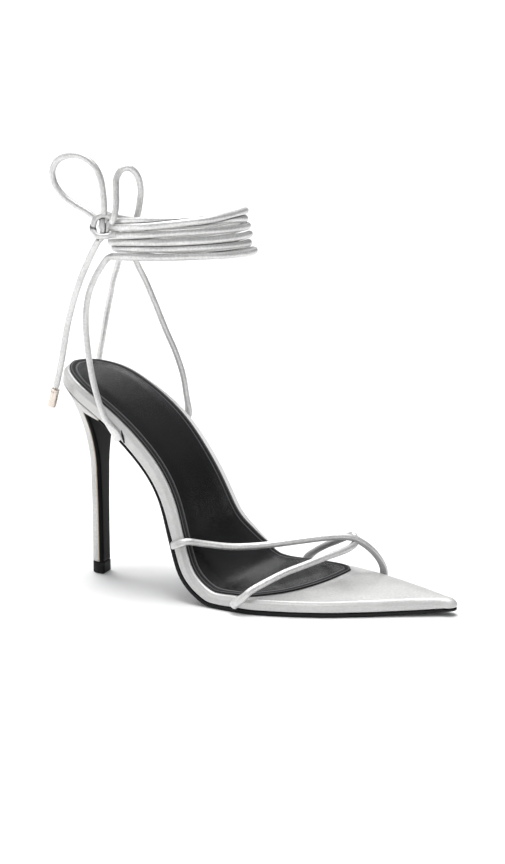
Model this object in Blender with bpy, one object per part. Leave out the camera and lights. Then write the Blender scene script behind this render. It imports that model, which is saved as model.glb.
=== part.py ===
"""Pointed stiletto sandal for the right foot: footbed, slim heel, crossed toe straps and an ankle tie.

Lengths are millimetres. The footbed is worked out flat, as arc position along the foot, distance across
it (plus is the big toe's side) and height over the board's underside, and is then bent along the foot's
profile.
x runs from the heel's back to the toe, y to the big toe's side and z up from the floor.
"""
import math

import bmesh
import bpy
import numpy as np
from mathutils import Matrix, Vector

MM = 0.001
GAP = 0.3

# Footbed and sole
FOOTBED_LENGTH = 264.0
BACK_ROUND = 25.0
TOE_ROUND = 6.0
REST_ARC = 190.0
SOLE_FOREPART = 2.5
SOLE_INSET = 0.4
STATIONS = 46
END_STEPS = (0.0, 0.4, 1.4, 3.0, 5.2)
COLUMNS = 4

# Insole
# Insole inset: arc position, inset on the little toe's side, inset on the big toe's side
INSOLE_INSET = (
    (0, 1.9, 4.2), (30, 1.9, 4.4), (53, 1.9, 5.2), (79, 1.9, 5.8), (111, 1.9, 5.6), (132, 2.0, 4.6),
    (162, 3.4, 3.2), (264, 3.4, 3.2),
)
INSOLE_BACK = 1.9
INSOLE_TIP = 198.5
# Insole edge, from below: inset, height
INSOLE_EDGE = ((0.3, 0.0), (0.0, 0.15), (0.0, 0.4), (0.4, 0.65))

# Heel
TIP_HEIGHT = 6.5
FLARE_POWER = 2.0
FLARE_LEVELS = 9
BREAST_FRONT = 21.0
BREAST_THICKNESS = 2.2
SEAT_DEPTH = 19.5
WING_REACH = 35.0
WING_SHARE = 0.17
WING_END = 1.0
WING_COVER = 0.45
HEEL_INSET = 0.9
WING_LEVELS = 3
HEEL_ROUND_POINTS = 19

# Cords
STRAP_DIAMETER = 3.6
STRAP_SPACING = 3.0
TIE_DIAMETER = 3.2
AGLET_DIAMETER = 4.4
AGLET_LENGTH = 10.0

# Ankle wrap
WRAP_CENTRE = (64.2, 0.0, 186.0)
WRAP_HALF_LENGTH = 37.2
WRAP_HALF_WIDTH = 33.0
WRAP_PITCH = 3.75
WRAP_FAN = 0.07
WRAP_TURNS = 6
WRAP_START_DEG = 225.0
WRAP_END_DEG = 205.0
WRAP_FRONT_RISE = 0.070
WRAP_SIDE_RISE = 0.080
WRAP_FAR_DROP = 6.5
WRAP_DROP_FROM_DEG = 20.0
WRAP_STEPS = 27

# Bow
KNOT_CENTRE = (36.9, -30.1, 190.2)
KNOT_RADII = (4.2, 3.7, 4.4)

# Footbed slope: arc position, degrees down towards the toe
SLOPE = (
    (0, 12.0), (26, 30.0), (53, 43.0), (79, 57.0), (105, 68.5), (124, 57.0), (143, 32.5), (158, 8.0),
    (174, 0.0), (206, 0.0), (238, -2.0), (264, -4.0),
)
# Footbed plan: arc position, midline towards the big toe, half width
PLAN = (
    (0, 0.0, 25.3), (26, 0.0, 25.3), (53, 0.8, 24.8), (79, 1.2, 23.7), (111, 1.0, 26.5), (132, 0.5, 31.9),
    (153, 0.7, 36.2), (166, 2.1, 38.7), (182, 3.5, 36.9), (201, 4.5, 32.2), (219, 4.9, 24.6),
    (240, 4.2, 13.8), (258, 3.0, 4.4),
)
# Footbed roll: arc position, degrees by which the big toe's side is higher
ROLL = (
    (0, 0.0), (32, 6.6), (66, 11.2), (95, 13.0), (124, 13.7), (143, 9.6), (150, 4.8), (156, 1.6),
    (162, 0.2), (166, 0.0), (264, 0.0),
)
# Board thickness: arc position, thickness
BOARD = ((0, 7.0), (53, 7.0), (145, 5.5), (196, 5.6), (236, 6.0), (252, 5.6), (264, 4.2))
# Sole thickness: arc position, thickness
SOLE = ((0, 1.3), (80, 1.3), (126, SOLE_FOREPART), (204, SOLE_FOREPART), (264, 1.6))
# Rim wall: inset from the outline and share of the board's height, then both at the toe's rounded tip
RIM_WALL = (
    (1.0, 0.0, 1.0, 0.0), (0.2, 0.13, 0.2, 0.12), (0.1, 0.36, 0.0, 0.26), (0.0, 0.62, 0.0, 0.42),
    (0.2, 0.70, 0.3, 0.56), (0.8, 0.83, 0.9, 0.76), (1.3, 0.95, 1.8, 0.93), (1.9, 1.0, 3.2, 1.0),
)
TIP_SHAPE = ((0, 0.0), (192, 0.0), (258, 1.0), (264, 1.0))
# Insole front: arc position, edge on the little toe's side, edge on the big toe's side
INSOLE_FRONT = (
    (167, -30.8, 37.6), (176, -23.6, 37.6), (185, -12.0, 36.8), (191, 1.0, 35.5), (195.5, 14.0, 33.0),
    (198.5, 27.4, 27.4),
)
# Heel shaft: height, back, half width
SHAFT = ((6.8, 13.2, 4.3), (20, 13.3, 4.3), (38, 13.3, 4.5), (55, 13.2, 5.3))

# Routes, points along each cord
STRAP_OUTER = (
    (86.4, -19.6, 29.0), (98.2, -11.7, 26.6), (110.2, -4.4, 26.4), (122.4, 3.2, 27.4),
    (136.0, 11.5, 28.8), (145.0, 17.2, 29.2), (152.2, 21.8, 28.2), (157.4, 25.4, 24.6), (161.4, 28.4, 20.2),
    (164.4, 31.0, 15.0), (166.0, 32.8, 10.4),
)
STRAP_INNER = (
    (115.6, -37.8, 9.4), (118.6, -35.0, 12.4), (124.2, -28.9, 15.7), (131.5, -20.0, 19.2),
    (139.4, -11.0, 21.8), (145.4, -2.8, 23.6), (150.0, 6.4, 24.2), (152.6, 15.4, 24.3), (153.4, 23.4, 25.2),
    (150.8, 28.0, 27.6), (146.0, 32.6, 25.2), (139.4, 36.4, 21.2), (131.6, 39.8, 16.8), (124.6, 42.4, 12.0),
)
RISER_LATERAL = (
    (40.4, -26.4, 83.4), (38.6, -26.7, 86.2), (34.7, -27.0, 92.4), (31.2, -26.9, 101.0), (27.4, -25.9, 112.8),
    (25.0, -25.5, 127.2), (23.9, -25.0, 142.0), (25.0, -24.0, 154.0), (28.2, -23.2, 163.0),
    (31.8, -21.6, 169.8), (34.4, -21.3, 173.2), (36.8, -22.5, 174.8),
)
RISER_MEDIAL = (
    (56.6, 27.9, 83.0), (57.2, 28.1, 86.0), (55.8, 28.3, 93.6), (53.7, 28.3, 105.6), (49.7, 27.9, 117.5),
    (44.6, 27.2, 129.0), (39.3, 26.0, 142.6), (34.6, 24.2, 155.0), (31.8, 21.9, 162.4), (30.9, 19.6, 167.4),
)
LOOP_BACK = (
    (34.0, -30.2, 195.0), (28.2, -30.1, 198.4), (21.6, -30.0, 201.6), (15.6, -30.0, 205.4),
    (11.0, -30.0, 210.8), (9.4, -30.0, 216.8), (11.4, -30.0, 221.8), (15.8, -30.0, 225.0),
    (22.2, -30.0, 226.2), (28.4, -30.0, 224.6), (33.4, -30.0, 220.6), (36.2, -30.0, 215.0),
    (37.4, -30.0, 208.6), (37.9, -30.0, 202.0), (37.8, -29.8, 196.4),
)
LOOP_FRONT = (
    (42.0, -31.6, 193.0), (44.3, -32.1, 196.6), (44.7, -30.3, 202.4), (43.8, -28.2, 209.6),
    (43.3, -26.4, 215.2), (45.2, -24.4, 219.4), (48.6, -22.2, 220.0), (51.6, -20.2, 216.4),
    (52.6, -18.4, 209.4), (51.2, -17.2, 201.2), (49.8, -17.0, 195.6), (48.8, -18.2, 190.4),
)
END_BACK = (
    (35.2, -30.6, 185.0), (31.2, -30.5, 178.2), (25.4, -29.8, 167.2), (21.8, -29.4, 159.0),
    (18.9, -29.1, 151.2), (15.2, -28.5, 139.0), (12.4, -27.9, 126.8), (9.3, -27.2, 114.4),
    (6.7, -26.7, 105.4),
)
END_FRONT = (
    (26.3, 11.0, 169.4), (23.9, 12.8, 164.4), (19.6, 16.2, 155.8), (16.8, 18.2, 147.6), (13.7, 20.6, 138.8),
    (9.2, 24.2, 125.0), (5.6, 26.8, 113.2), (3.6, 28.2, 105.6),
)

SILVER = (0.62, 0.61, 0.60, 1.0)
BLACK = (0.012, 0.012, 0.013, 1.0)
NICKEL = (0.66, 0.60, 0.55, 1.0)


def column(rows, index, at):
    """Value of one column of a table, on a smooth curve that never overshoots its rows."""
    x = np.array([row[0] for row in rows], float)
    y = np.array([row[index] for row in rows], float)
    rate = np.diff(y) / np.diff(x)
    slope = np.concatenate([rate[:1], np.zeros(len(x) - 2), rate[-1:]])
    for i in range(1, len(x) - 1):
        if rate[i - 1] * rate[i] > 0:
            slope[i] = 2 * rate[i - 1] * rate[i] / (rate[i - 1] + rate[i])
    at = np.clip(np.asarray(at, float), x[0], x[-1])
    i = np.clip(np.searchsorted(x, at) - 1, 0, len(x) - 2)
    width = x[i + 1] - x[i]
    t = (at - x[i]) / width
    start = (1 + 2 * t) * (1 - t) ** 2 * y[i] + t * (1 - t) ** 2 * width * slope[i]
    end = t * t * (3 - 2 * t) * y[i + 1] + t * t * (t - 1) * width * slope[i + 1]
    return start + end


def foot_profile():
    """Arc positions with their x, z and slope, summed along the foot; the forepart lies on its sole."""
    arc = np.linspace(0, FOOTBED_LENGTH, 1057)
    slope = np.radians(column(SLOPE, 1, arc))
    step = arc[1] - arc[0]
    x = np.concatenate([[0], np.cumsum((np.cos(slope[1:]) + np.cos(slope[:-1])) / 2 * step)])
    z = -np.concatenate([[0], np.cumsum((np.sin(slope[1:]) + np.sin(slope[:-1])) / 2 * step)])
    return arc, x, z - z.min() + SOLE_FOREPART, slope


ARC, ARC_X, ARC_Z, ARC_SLOPE = foot_profile()
REST_X = float(np.interp(REST_ARC, ARC, ARC_X))


def place(point):
    """A point of the shoe in the part's frame, whose origin is the forefoot's resting point."""
    return Vector(((point[0] - REST_X) * MM, point[1] * MM, point[2] * MM))


def bed_mm(arc, across, height):
    """The bent place of a flat footbed point."""
    slope = float(np.interp(arc, ARC, ARC_SLOPE))
    lift = height + across * math.tan(math.radians(float(column(ROLL, 1, arc))))
    x = float(np.interp(arc, ARC, ARC_X)) + lift * math.sin(slope)
    z = float(np.interp(arc, ARC, ARC_Z)) + lift * math.cos(slope)
    return (x, across, z)


def rim(arc):
    """Outline of the footbed at an arc position: little toe's side, big toe's side."""
    share = 1.0
    if arc < BACK_ROUND:
        share = math.sqrt(max(0.0, 1 - (1 - arc / BACK_ROUND) ** 2))
    if arc > FOOTBED_LENGTH - TOE_ROUND:
        into = (arc - FOOTBED_LENGTH + TOE_ROUND) / TOE_ROUND
        share = math.sqrt(max(0.0, 1 - into ** 2))
    middle = float(column(PLAN, 1, arc))
    half = float(column(PLAN, 2, arc)) * share
    return middle - half, middle + half


def insole_edges(arc):
    """Edges of the insole: inside the rim, then its slanting front."""
    back = math.sqrt(max(0.0, 1 - max(0.0, 1 - (arc - INSOLE_BACK) / (BACK_ROUND - INSOLE_BACK)) ** 2))
    half = float(column(PLAN, 2, arc))
    middle = float(column(PLAN, 1, arc))
    lateral = middle - (half - float(column(INSOLE_INSET, 1, arc))) * back
    medial = middle + (half - float(column(INSOLE_INSET, 2, arc))) * back
    if arc > INSOLE_FRONT[0][0]:
        lateral = float(column(INSOLE_FRONT, 1, arc))
        medial = float(column(INSOLE_FRONT, 2, arc))
    return lateral, medial


def tip_share(arc):
    """How far the rim's section has changed into the tip's."""
    return float(column(TIP_SHAPE, 1, arc))


def board_height(arc):
    return float(column(BOARD, 1, arc))


def sole_thickness(arc):
    return float(column(SOLE, 1, arc))


def stations(start, end):
    """Arc positions shared by all layers, with closer ones where a layer starts and ends."""
    shared = [FOOTBED_LENGTH * i / STATIONS for i in range(STATIONS + 1)]
    inner = [arc for arc in shared if start + END_STEPS[-1] + 1 < arc < end - END_STEPS[-1] - 1]
    return [start + step for step in END_STEPS] + inner + [end - step for step in reversed(END_STEPS)]


def flat_loop(edges, start, end):
    """Flat outline: along the big toe's side to the toe, then back along the little toe's side."""
    arcs = stations(start, end)
    medial = [(arc, edges(arc)[1]) for arc in arcs]
    lateral = [(arc, edges(arc)[0]) for arc in reversed(arcs[:-1])]
    return medial + lateral


def neighbour(points, i, way):
    """The nearest point before (-1) or after (1) point i that isn't in the same place."""
    for k in range(1, len(points)):
        other = points[(i + way * k) % len(points)]
        if (other - points[i]).length > 0.02:
            return other


def inset_loop(loop, inset, tip_inset=None):
    """The flat outline moved inwards, by another distance at the toe's tip if it is given."""
    points = [Vector(point) for point in loop]
    moved = []
    for i, point in enumerate(points):
        distance = inset
        if tip_inset is not None:
            distance += (tip_inset - inset) * tip_share(point.x)
        before = neighbour(points, i, -1)
        after = neighbour(points, i, 1)
        along = (point - before).normalized() + (after - point).normalized()
        inward = Vector((along.y, -along.x)).normalized()
        moved.append(point + inward * distance)
    return moved


def material(name, colour, roughness, metallic):
    made = bpy.data.materials.new(name)
    made.use_nodes = True
    shader = made.node_tree.nodes["Principled BSDF"]
    shader.inputs["Base Color"].default_value = colour
    shader.inputs["Roughness"].default_value = roughness
    shader.inputs["Metallic"].default_value = metallic
    return made


def add_object(name, mesh, finish):
    made = bpy.data.objects.new(name, mesh)
    made.data.materials.append(finish)
    made.parent = SANDAL
    PIECES.objects.link(made)
    return made


def finish_mesh(name, bm, finish):
    bmesh.ops.remove_doubles(bm, verts=bm.verts, dist=0.00002)
    bmesh.ops.dissolve_degenerate(bm, edges=bm.edges, dist=0.00001)
    bmesh.ops.triangulate(bm, faces=bm.faces, quad_method="FIXED")
    bmesh.ops.recalc_face_normals(bm, faces=bm.faces)
    if bm.calc_volume(signed=True) < 0:
        bmesh.ops.reverse_faces(bm, faces=bm.faces)
    mesh = bpy.data.meshes.new(name)
    bm.to_mesh(mesh)
    bm.free()
    return add_object(name, mesh, finish)


def layered_solid(name, rings, finish):
    """Closed solid through rings of flat footbed points, each ring a list of places, with ladder caps."""
    bm = bmesh.new()
    made = [[bm.verts.new(place(point)) for point in ring] for ring in rings]
    count = len(made[0])
    for low, high in zip(made, made[1:]):
        for i in range(count):
            j = (i + 1) % count
            bm.faces.new((low[i], low[j], high[j], high[i]))
    for ring in (made[0], made[-1]):
        rungs = []
        for i in range(1, count // 2):
            inner = [ring[i].co.lerp(ring[count - 1 - i].co, k / COLUMNS) for k in range(1, COLUMNS)]
            rungs.append([ring[i], *[bm.verts.new(co) for co in inner], ring[count - 1 - i]])
        for rung, ahead in zip(rungs, rungs[1:]):
            for k in range(COLUMNS):
                bm.faces.new((rung[k], ahead[k], ahead[k + 1], rung[k + 1]))
        for k in range(COLUMNS):
            bm.faces.new((rungs[-1][k], ring[count // 2], rungs[-1][k + 1]))
        bm.faces.new((ring[0], *rungs[0], ring[-1]))
    return finish_mesh(name, bm, finish)


def make_outsole(finish):
    loop = flat_loop(rim, WING_REACH + GAP, FOOTBED_LENGTH)
    rings = []
    for inset, share in ((SOLE_INSET + 0.8, 1.0), (SOLE_INSET, 0.7), (SOLE_INSET, 0.0)):
        ring = inset_loop(loop, inset)
        rings.append([bed_mm(p[0], p[1], -GAP - (sole_thickness(p[0]) - GAP) * share) for p in ring])
    return layered_solid("outsole", rings, finish)


def make_footbed(finish):
    loop = flat_loop(rim, 0.0, FOOTBED_LENGTH)
    rings = []
    for inset, share, tip_inset, tip_height in RIM_WALL:
        ring = inset_loop(loop, inset, tip_inset)
        shares = [share + (tip_height - share) * tip_share(p[0]) for p in ring]
        rings.append([bed_mm(p[0], p[1], board_height(p[0]) * part) for p, part in zip(ring, shares)])
    return layered_solid("footbed", rings, finish)


def make_insole(finish):
    loop = flat_loop(insole_edges, INSOLE_BACK, INSOLE_TIP)
    rings = []
    for inset, height in INSOLE_EDGE:
        ring = inset_loop(loop, inset)
        rings.append([bed_mm(p[0], p[1], board_height(p[0]) + GAP + height) for p in ring])
    return layered_solid("insole", rings, finish)


def under_bed(reach, turn, forward, drop):
    """A point below the footbed's edge, for a heel top that reaches so far from the back."""
    arc = reach - (reach - HEEL_INSET) * math.cos(math.radians(turn))
    edge = rim(arc)[1 if turn > 0 else 0]
    across = edge - math.copysign(min(HEEL_INSET, abs(edge)), edge)
    return bed_mm(arc + forward, across, -GAP - drop)


def heel_point(turn, level, forward):
    """A point of the heel; turn runs from the little toe's side (-90) round the back to the other (90).

    The shaft widens to a neck below the footbed, and from there wings run forward under the shank."""
    angle = math.radians(turn)
    joint = BREAST_FRONT - BREAST_THICKNESS - GAP
    if level < len(SHAFT):
        height, back, half = SHAFT[level]
        x = joint - (joint - back) * math.cos(angle) + forward
        return (x, half * math.sin(angle), height)
    swing = math.sin(angle) ** 2
    flare = level - len(SHAFT) + 1
    if flare <= FLARE_LEVELS:
        share = flare / FLARE_LEVELS * (1 - WING_SHARE * swing)
        low = heel_point(turn, len(SHAFT) - 1, forward)
        top = under_bed(SEAT_DEPTH, turn, forward, 0.0)
        shares = (share ** FLARE_POWER, share ** FLARE_POWER, share)
        return tuple(a + (b - a) * part for a, b, part in zip(low, top, shares))
    wing = flare - FLARE_LEVELS
    if wing > WING_LEVELS:
        return under_bed(WING_REACH, turn, 0.0, 0.0)
    neck = heel_point(turn, len(SHAFT) + FLARE_LEVELS - 1, forward)
    end = under_bed(WING_REACH, turn, 0.0, WING_END * swing + WING_COVER * forward)
    return tuple(a + (b - a) * wing / WING_LEVELS for a, b in zip(neck, end))


def heel_levels():
    """Levels up to the end of the wings; the heel has one more, against the footbed."""
    return range(len(SHAFT) + FLARE_LEVELS + WING_LEVELS)


def ring_solid(name, rings, finish):
    """Closed solid through rings of places, with ends bridged from side to side."""
    bm = bmesh.new()
    made = [[bm.verts.new(place(point)) for point in ring] for ring in rings]
    count = len(made[0])
    for low, high in zip(made, made[1:]):
        for i in range(count):
            j = (i + 1) % count
            bm.faces.new((low[i], low[j], high[j], high[i]))
    for ring in (made[0], made[-1]):
        for i in range((count - 1) // 2):
            corners = (ring[i], ring[i + 1], ring[count - 2 - i], ring[count - 1 - i])
            bm.faces.new(dict.fromkeys(corners))
    return finish_mesh(name, bm, finish)


def make_heel(finish):
    turns = np.linspace(-90, 90, HEEL_ROUND_POINTS)
    levels = range(len(heel_levels()) + 1)
    rings = [[heel_point(turn, level, 0.0) for turn in turns] for level in levels]
    return ring_solid("heel", rings, finish)


def make_heel_breast(finish):
    rings = []
    for level in heel_levels():
        back = GAP if level < len(SHAFT) else 2 * GAP
        ring = [heel_point(-90, level, back), heel_point(-90, level, GAP + BREAST_THICKNESS)]
        ring += [heel_point(90, level, GAP + BREAST_THICKNESS), heel_point(90, level, back)]
        rings.append(ring)
    return ring_solid("heel_breast", rings, finish)


def make_heel_tip(finish):
    turns = np.linspace(-90, 90, HEEL_ROUND_POINTS)
    corners = [heel_point(turn, 0, GAP + BREAST_THICKNESS)[:2] for turn in (-90, 90)]
    foot = [corners[0], *[heel_point(turn, 0, 0.0)[:2] for turn in turns], corners[1]]
    rings = [[(x, y, height) for x, y in foot] for height in (0.0, TIP_HEIGHT)]
    return ring_solid("heel_tip", rings, finish)


def smooth_route(points, spacing):
    """Points at an even spacing on a smooth curve through a route's own points."""
    ends = [Vector(points[0]) * 2 - Vector(points[1])] + [Vector(p) for p in points]
    ends.append(Vector(points[-1]) * 2 - Vector(points[-2]))
    fine = []
    for a, b, c, d in zip(ends, ends[1:], ends[2:], ends[3:]):
        for k in range(12):
            t = k / 12
            square = (2 * a - 5 * b + 4 * c - d) * t ** 2
            cube = (3 * b - a - 3 * c + d) * t ** 3
            fine.append(0.5 * (2 * b + (c - a) * t + square + cube))
    fine.append(ends[-2])
    run = np.concatenate([[0], np.cumsum([(q - p).length for p, q in zip(fine, fine[1:])])])
    count = max(2, round(run[-1] / spacing) + 1)
    marks = np.linspace(0, run[-1], count)
    table = np.array([tuple(p) for p in fine])
    return [tuple(float(np.interp(mark, run, table[:, axis])) for axis in range(3)) for mark in marks]


def cord_mesh(name, points, diameter, sides_level):
    """Closed round cord along points: a bevelled curve with filled ends, turned into a mesh."""
    curve = bpy.data.curves.new(name, "CURVE")
    curve.dimensions = "3D"
    curve.bevel_depth = diameter / 2 * MM
    curve.bevel_resolution = sides_level
    curve.use_fill_caps = True
    spline = curve.splines.new("POLY")
    spline.points.add(len(points) - 1)
    for target, point in zip(spline.points, points):
        target.co = (*place(point), 1.0)
    holder = bpy.data.objects.new(name + "_route", curve)
    PIECES.objects.link(holder)
    bpy.context.view_layer.update()
    mesh = bpy.data.meshes.new_from_object(holder.evaluated_get(bpy.context.evaluated_depsgraph_get()))
    bpy.data.objects.remove(holder)
    bm = bmesh.new()
    bm.from_mesh(mesh)
    bmesh.ops.remove_doubles(bm, verts=bm.verts, dist=0.00001)
    bmesh.ops.recalc_face_normals(bm, faces=bm.faces)
    bm.to_mesh(mesh)
    bm.free()
    mesh.materials.clear()
    mesh.name = name
    return mesh


def rim_foot(arc, side, out, height):
    """A cord's place outside the rim's wall: side 0 is the little toe's, 1 the big toe's."""
    edge = rim(arc)[side]
    return bed_mm(arc, edge + out * math.copysign(1.0, edge), height)


def make_toe_straps(finish):
    out = STRAP_DIAMETER / 2 + GAP
    outer = [rim_foot(113, 0, out, 0.9), rim_foot(113.2, 0, out, 4.2), rim_foot(113.6, 0, 1.6, 7.0)]
    outer += [rim_foot(114.6, 0, -1.0, 9.1), *STRAP_OUTER]
    outer += [rim_foot(215, 1, out + 0.1, 4.0), rim_foot(215, 1, out + 0.1, 0.6)]
    inner = [rim_foot(158, 0, out, 0.9), rim_foot(160, 0, out, 3.6), *STRAP_INNER]
    inner += [rim_foot(168.5, 1, out, 5.2), rim_foot(167, 1, out, 0.6)]
    meshes = []
    for name, route in (("strap_outer", outer), ("strap_inner", inner)):
        meshes.append(cord_mesh(name, smooth_route(route, STRAP_SPACING), STRAP_DIAMETER, 3))
    straps = add_object("toe_straps", meshes[0], finish)
    crossing = bpy.data.objects.new("strap_inner", meshes[1])
    CUTTERS.objects.link(crossing)
    crossing.parent = SANDAL
    crossing.hide_render = True
    crossing.display_type = "WIRE"
    join = straps.modifiers.new("joined crossing", "BOOLEAN")
    join.operation = "UNION"
    join.solver = "EXACT"
    join.object = crossing
    return straps


def wrap_point(degrees, out=0.0):
    """A place on the wrap's helix, counted in degrees from the little toe's side round the front."""
    angle = math.radians(degrees)
    across = WRAP_HALF_LENGTH * math.cos(angle)
    side = WRAP_HALF_WIDTH * math.sin(angle)
    outward = Vector((math.cos(angle) / WRAP_HALF_LENGTH, math.sin(angle) / WRAP_HALF_WIDTH, 0.0))
    turns = (degrees - WRAP_START_DEG) / 360 - WRAP_TURNS / 2
    climbed = WRAP_PITCH * turns * (1 + WRAP_FAN * math.cos(angle))
    far = max(0.0, math.sin(angle - math.radians(WRAP_DROP_FROM_DEG)))
    height = climbed + WRAP_FRONT_RISE * across - WRAP_SIDE_RISE * side - WRAP_FAR_DROP * far ** 1.5
    return tuple(Vector(WRAP_CENTRE) + Vector((across, side, height)) + outward.normalized() * out)


def make_ankle_wrap(finish):
    last = WRAP_END_DEG + 360 * WRAP_TURNS
    count = round((last - WRAP_START_DEG) / 360 * WRAP_STEPS) + 1
    points = [wrap_point(degrees) for degrees in np.linspace(WRAP_START_DEG, last, count)]
    points += [wrap_point(last + 9, 1.0), wrap_point(last + 17, 3.2)]
    return add_object("ankle_wrap", cord_mesh("ankle_wrap", points, TIE_DIAMETER, 2), finish)


def make_tie(name, route, finish):
    spacing = 1.2 if name.startswith("bow_loop") else 2.4
    mesh = cord_mesh(name, smooth_route(route, spacing * TIE_DIAMETER), TIE_DIAMETER, 2)
    return add_object(name, mesh, finish)


def make_knot(finish):
    bm = bmesh.new()
    size = Matrix.Diagonal((*[radius * MM for radius in KNOT_RADII], 1.0))
    where = Matrix.Translation(place(KNOT_CENTRE)) @ size
    bmesh.ops.create_uvsphere(bm, u_segments=14, v_segments=8, radius=1.0, matrix=where)
    return finish_mesh("bow_knot", bm, finish)


def make_aglet(name, route, finish):
    """Metal tip carried on in line from the end of a hanging cord."""
    last = Vector(route[-1])
    along = (last - Vector(route[-2])).normalized()
    middle = last + along * (GAP + AGLET_LENGTH / 2)
    turn = Vector((0, 0, 1)).rotation_difference(along).to_matrix().to_4x4()
    radius = AGLET_DIAMETER / 2 * MM
    bm = bmesh.new()
    bmesh.ops.create_cone(
        bm, cap_ends=True, segments=16, radius1=radius, radius2=radius, depth=AGLET_LENGTH * MM,
        matrix=Matrix.Translation(place(middle)) @ turn)
    return finish_mesh(name, bm, finish)


for leftover in list(bpy.data.objects):
    bpy.data.objects.remove(leftover, do_unlink=True)

PIECES = bpy.data.collections.new("stiletto_sandal")
CUTTERS = bpy.data.collections.new("stiletto_sandal_cutters")
bpy.context.scene.collection.children.link(PIECES)
bpy.context.scene.collection.children.link(CUTTERS)
SANDAL = bpy.data.objects.new("sandal", None)
PIECES.objects.link(SANDAL)

make_outsole(material("black outsole leather", BLACK, 0.45, 0.0))
make_footbed(material("silver leather rim", SILVER, 0.35, 0.75))
make_insole(material("black leather lining", BLACK, 0.5, 0.0))
make_heel(material("silver leather heel cover", SILVER, 0.35, 0.75))
make_heel_breast(material("black breast leather", BLACK, 0.4, 0.0))
make_heel_tip(material("black tip rubber", BLACK, 0.6, 0.0))
make_toe_straps(material("silver strap leather", SILVER, 0.35, 0.75))
make_ankle_wrap(material("silver wrap leather", SILVER, 0.35, 0.75))

TIE_OUT = TIE_DIAMETER / 2 + GAP
TIES = {
    "tie_riser_lateral": [rim_foot(51, 0, TIE_OUT, 0.9), *RISER_LATERAL],
    "tie_riser_medial": [rim_foot(61, 1, TIE_OUT, 0.9), *RISER_MEDIAL],
    "bow_loop_back": LOOP_BACK,
    "bow_loop_front": LOOP_FRONT,
    "tie_end_back": END_BACK,
    "tie_end_front": END_FRONT,
}
for tie_name, tie_route in TIES.items():
    make_tie(tie_name, tie_route, material(f"silver leather {tie_name}", SILVER, 0.35, 0.75))
make_knot(material("silver leather knot", SILVER, 0.35, 0.75))
make_aglet("aglet_back", END_BACK, material("nickel back aglet", NICKEL, 0.25, 1.0))
make_aglet("aglet_front", END_FRONT, material("nickel front aglet", NICKEL, 0.25, 1.0))
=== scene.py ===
# %% [markdown]
# # A stiletto sandal tied round the ankle
#
# The shapes of this sandal are already settled in a CAD model. This lesson dresses it: silver leather over
# the rim and heel, a black insole, round leather cords and a bow, all in the model's own frame. The first
# lines load that model, so every piece below can be put where the model says, with no fitting.

# %% Load the model
import math

import bmesh
import bpy
import numpy as np
from mathutils import Matrix, Vector

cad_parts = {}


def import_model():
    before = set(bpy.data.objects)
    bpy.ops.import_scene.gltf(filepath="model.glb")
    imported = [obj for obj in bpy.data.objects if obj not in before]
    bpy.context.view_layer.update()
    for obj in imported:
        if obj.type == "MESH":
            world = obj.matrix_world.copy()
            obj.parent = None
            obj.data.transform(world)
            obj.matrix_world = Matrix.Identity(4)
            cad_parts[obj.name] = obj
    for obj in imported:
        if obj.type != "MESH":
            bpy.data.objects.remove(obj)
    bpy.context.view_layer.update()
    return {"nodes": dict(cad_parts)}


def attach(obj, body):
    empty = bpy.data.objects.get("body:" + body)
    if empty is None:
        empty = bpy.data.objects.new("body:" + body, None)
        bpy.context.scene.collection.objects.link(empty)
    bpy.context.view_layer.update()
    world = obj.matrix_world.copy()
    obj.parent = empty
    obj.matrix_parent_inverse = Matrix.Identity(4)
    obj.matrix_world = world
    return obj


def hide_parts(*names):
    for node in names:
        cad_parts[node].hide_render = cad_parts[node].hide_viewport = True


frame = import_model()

MM = 0.001
print("nodes:", ", ".join(sorted(frame["nodes"])))

# %% [markdown]
# ## Camera
#
# The picture was taken with a long lens, a little from above. A camera can be aimed by eye, but here the
# lines of the sole and the standing points of heel and toe gave its angle and distance by fitting. With a
# vertical sensor fit the lens follows from the focal length in pixels and the picture's height.

# %% Place the camera
PICTURE_HEIGHT_PX = 864
FOCAL_PX = 2035.0
SENSOR_MM = 36.0
AZIMUTH = math.radians(22.25)
ELEVATION = math.radians(14.0)
EYE = Vector((0.34629, -0.93459, 0.33714))

VIEW_BACK = Vector((math.sin(AZIMUTH) * math.cos(ELEVATION), -math.cos(AZIMUTH) * math.cos(ELEVATION),
                    math.sin(ELEVATION)))
VIEW_RIGHT = Vector((math.cos(AZIMUTH), math.sin(AZIMUTH), 0.0))
VIEW_UP = VIEW_BACK.cross(VIEW_RIGHT)

camera_data = bpy.data.cameras.new("studio camera")
camera_data.sensor_fit = "VERTICAL"
camera_data.sensor_height = SENSOR_MM
camera_data.lens = FOCAL_PX / PICTURE_HEIGHT_PX * SENSOR_MM
camera_data.clip_start = 0.01
camera = bpy.data.objects.new("studio camera", camera_data)
turned = Matrix((VIEW_RIGHT, VIEW_UP, VIEW_BACK)).transposed().to_4x4()
camera.matrix_world = Matrix.Translation(EYE) @ turned
bpy.context.scene.collection.objects.link(camera)
bpy.context.scene.camera = camera
print(f"camera: {camera_data.lens:.1f} mm lens, {EYE.length:.2f} m from the origin")

# %% [markdown]
# ## The shape of the foot
#
# A high sandal is drawn flat and then bent. One table gives the slope of the foot at each place along it,
# one the outline, one the sideways roll of the arch. The rows are millimetres and degrees, and a smooth
# curve runs through them. A place in the flat drawing (along, across, height) then has one place on the
# bent foot. Drawing flat is far easier than drawing the curve in space, and all layers fit each other.

# %% Bend the flat drawing
FOOT_LENGTH = 264.0
REST_ARC = 190.0
SOLE_FOREPART = 2.5
# place along the foot, degrees down towards the toe
SLOPE = (
    (0, 12.0), (26, 30.0), (53, 43.0), (79, 57.0), (105, 68.5), (124, 57.0), (143, 32.5), (158, 8.0),
    (174, 0.0), (206, 0.0), (238, -2.0), (264, -4.0),
)
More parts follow.
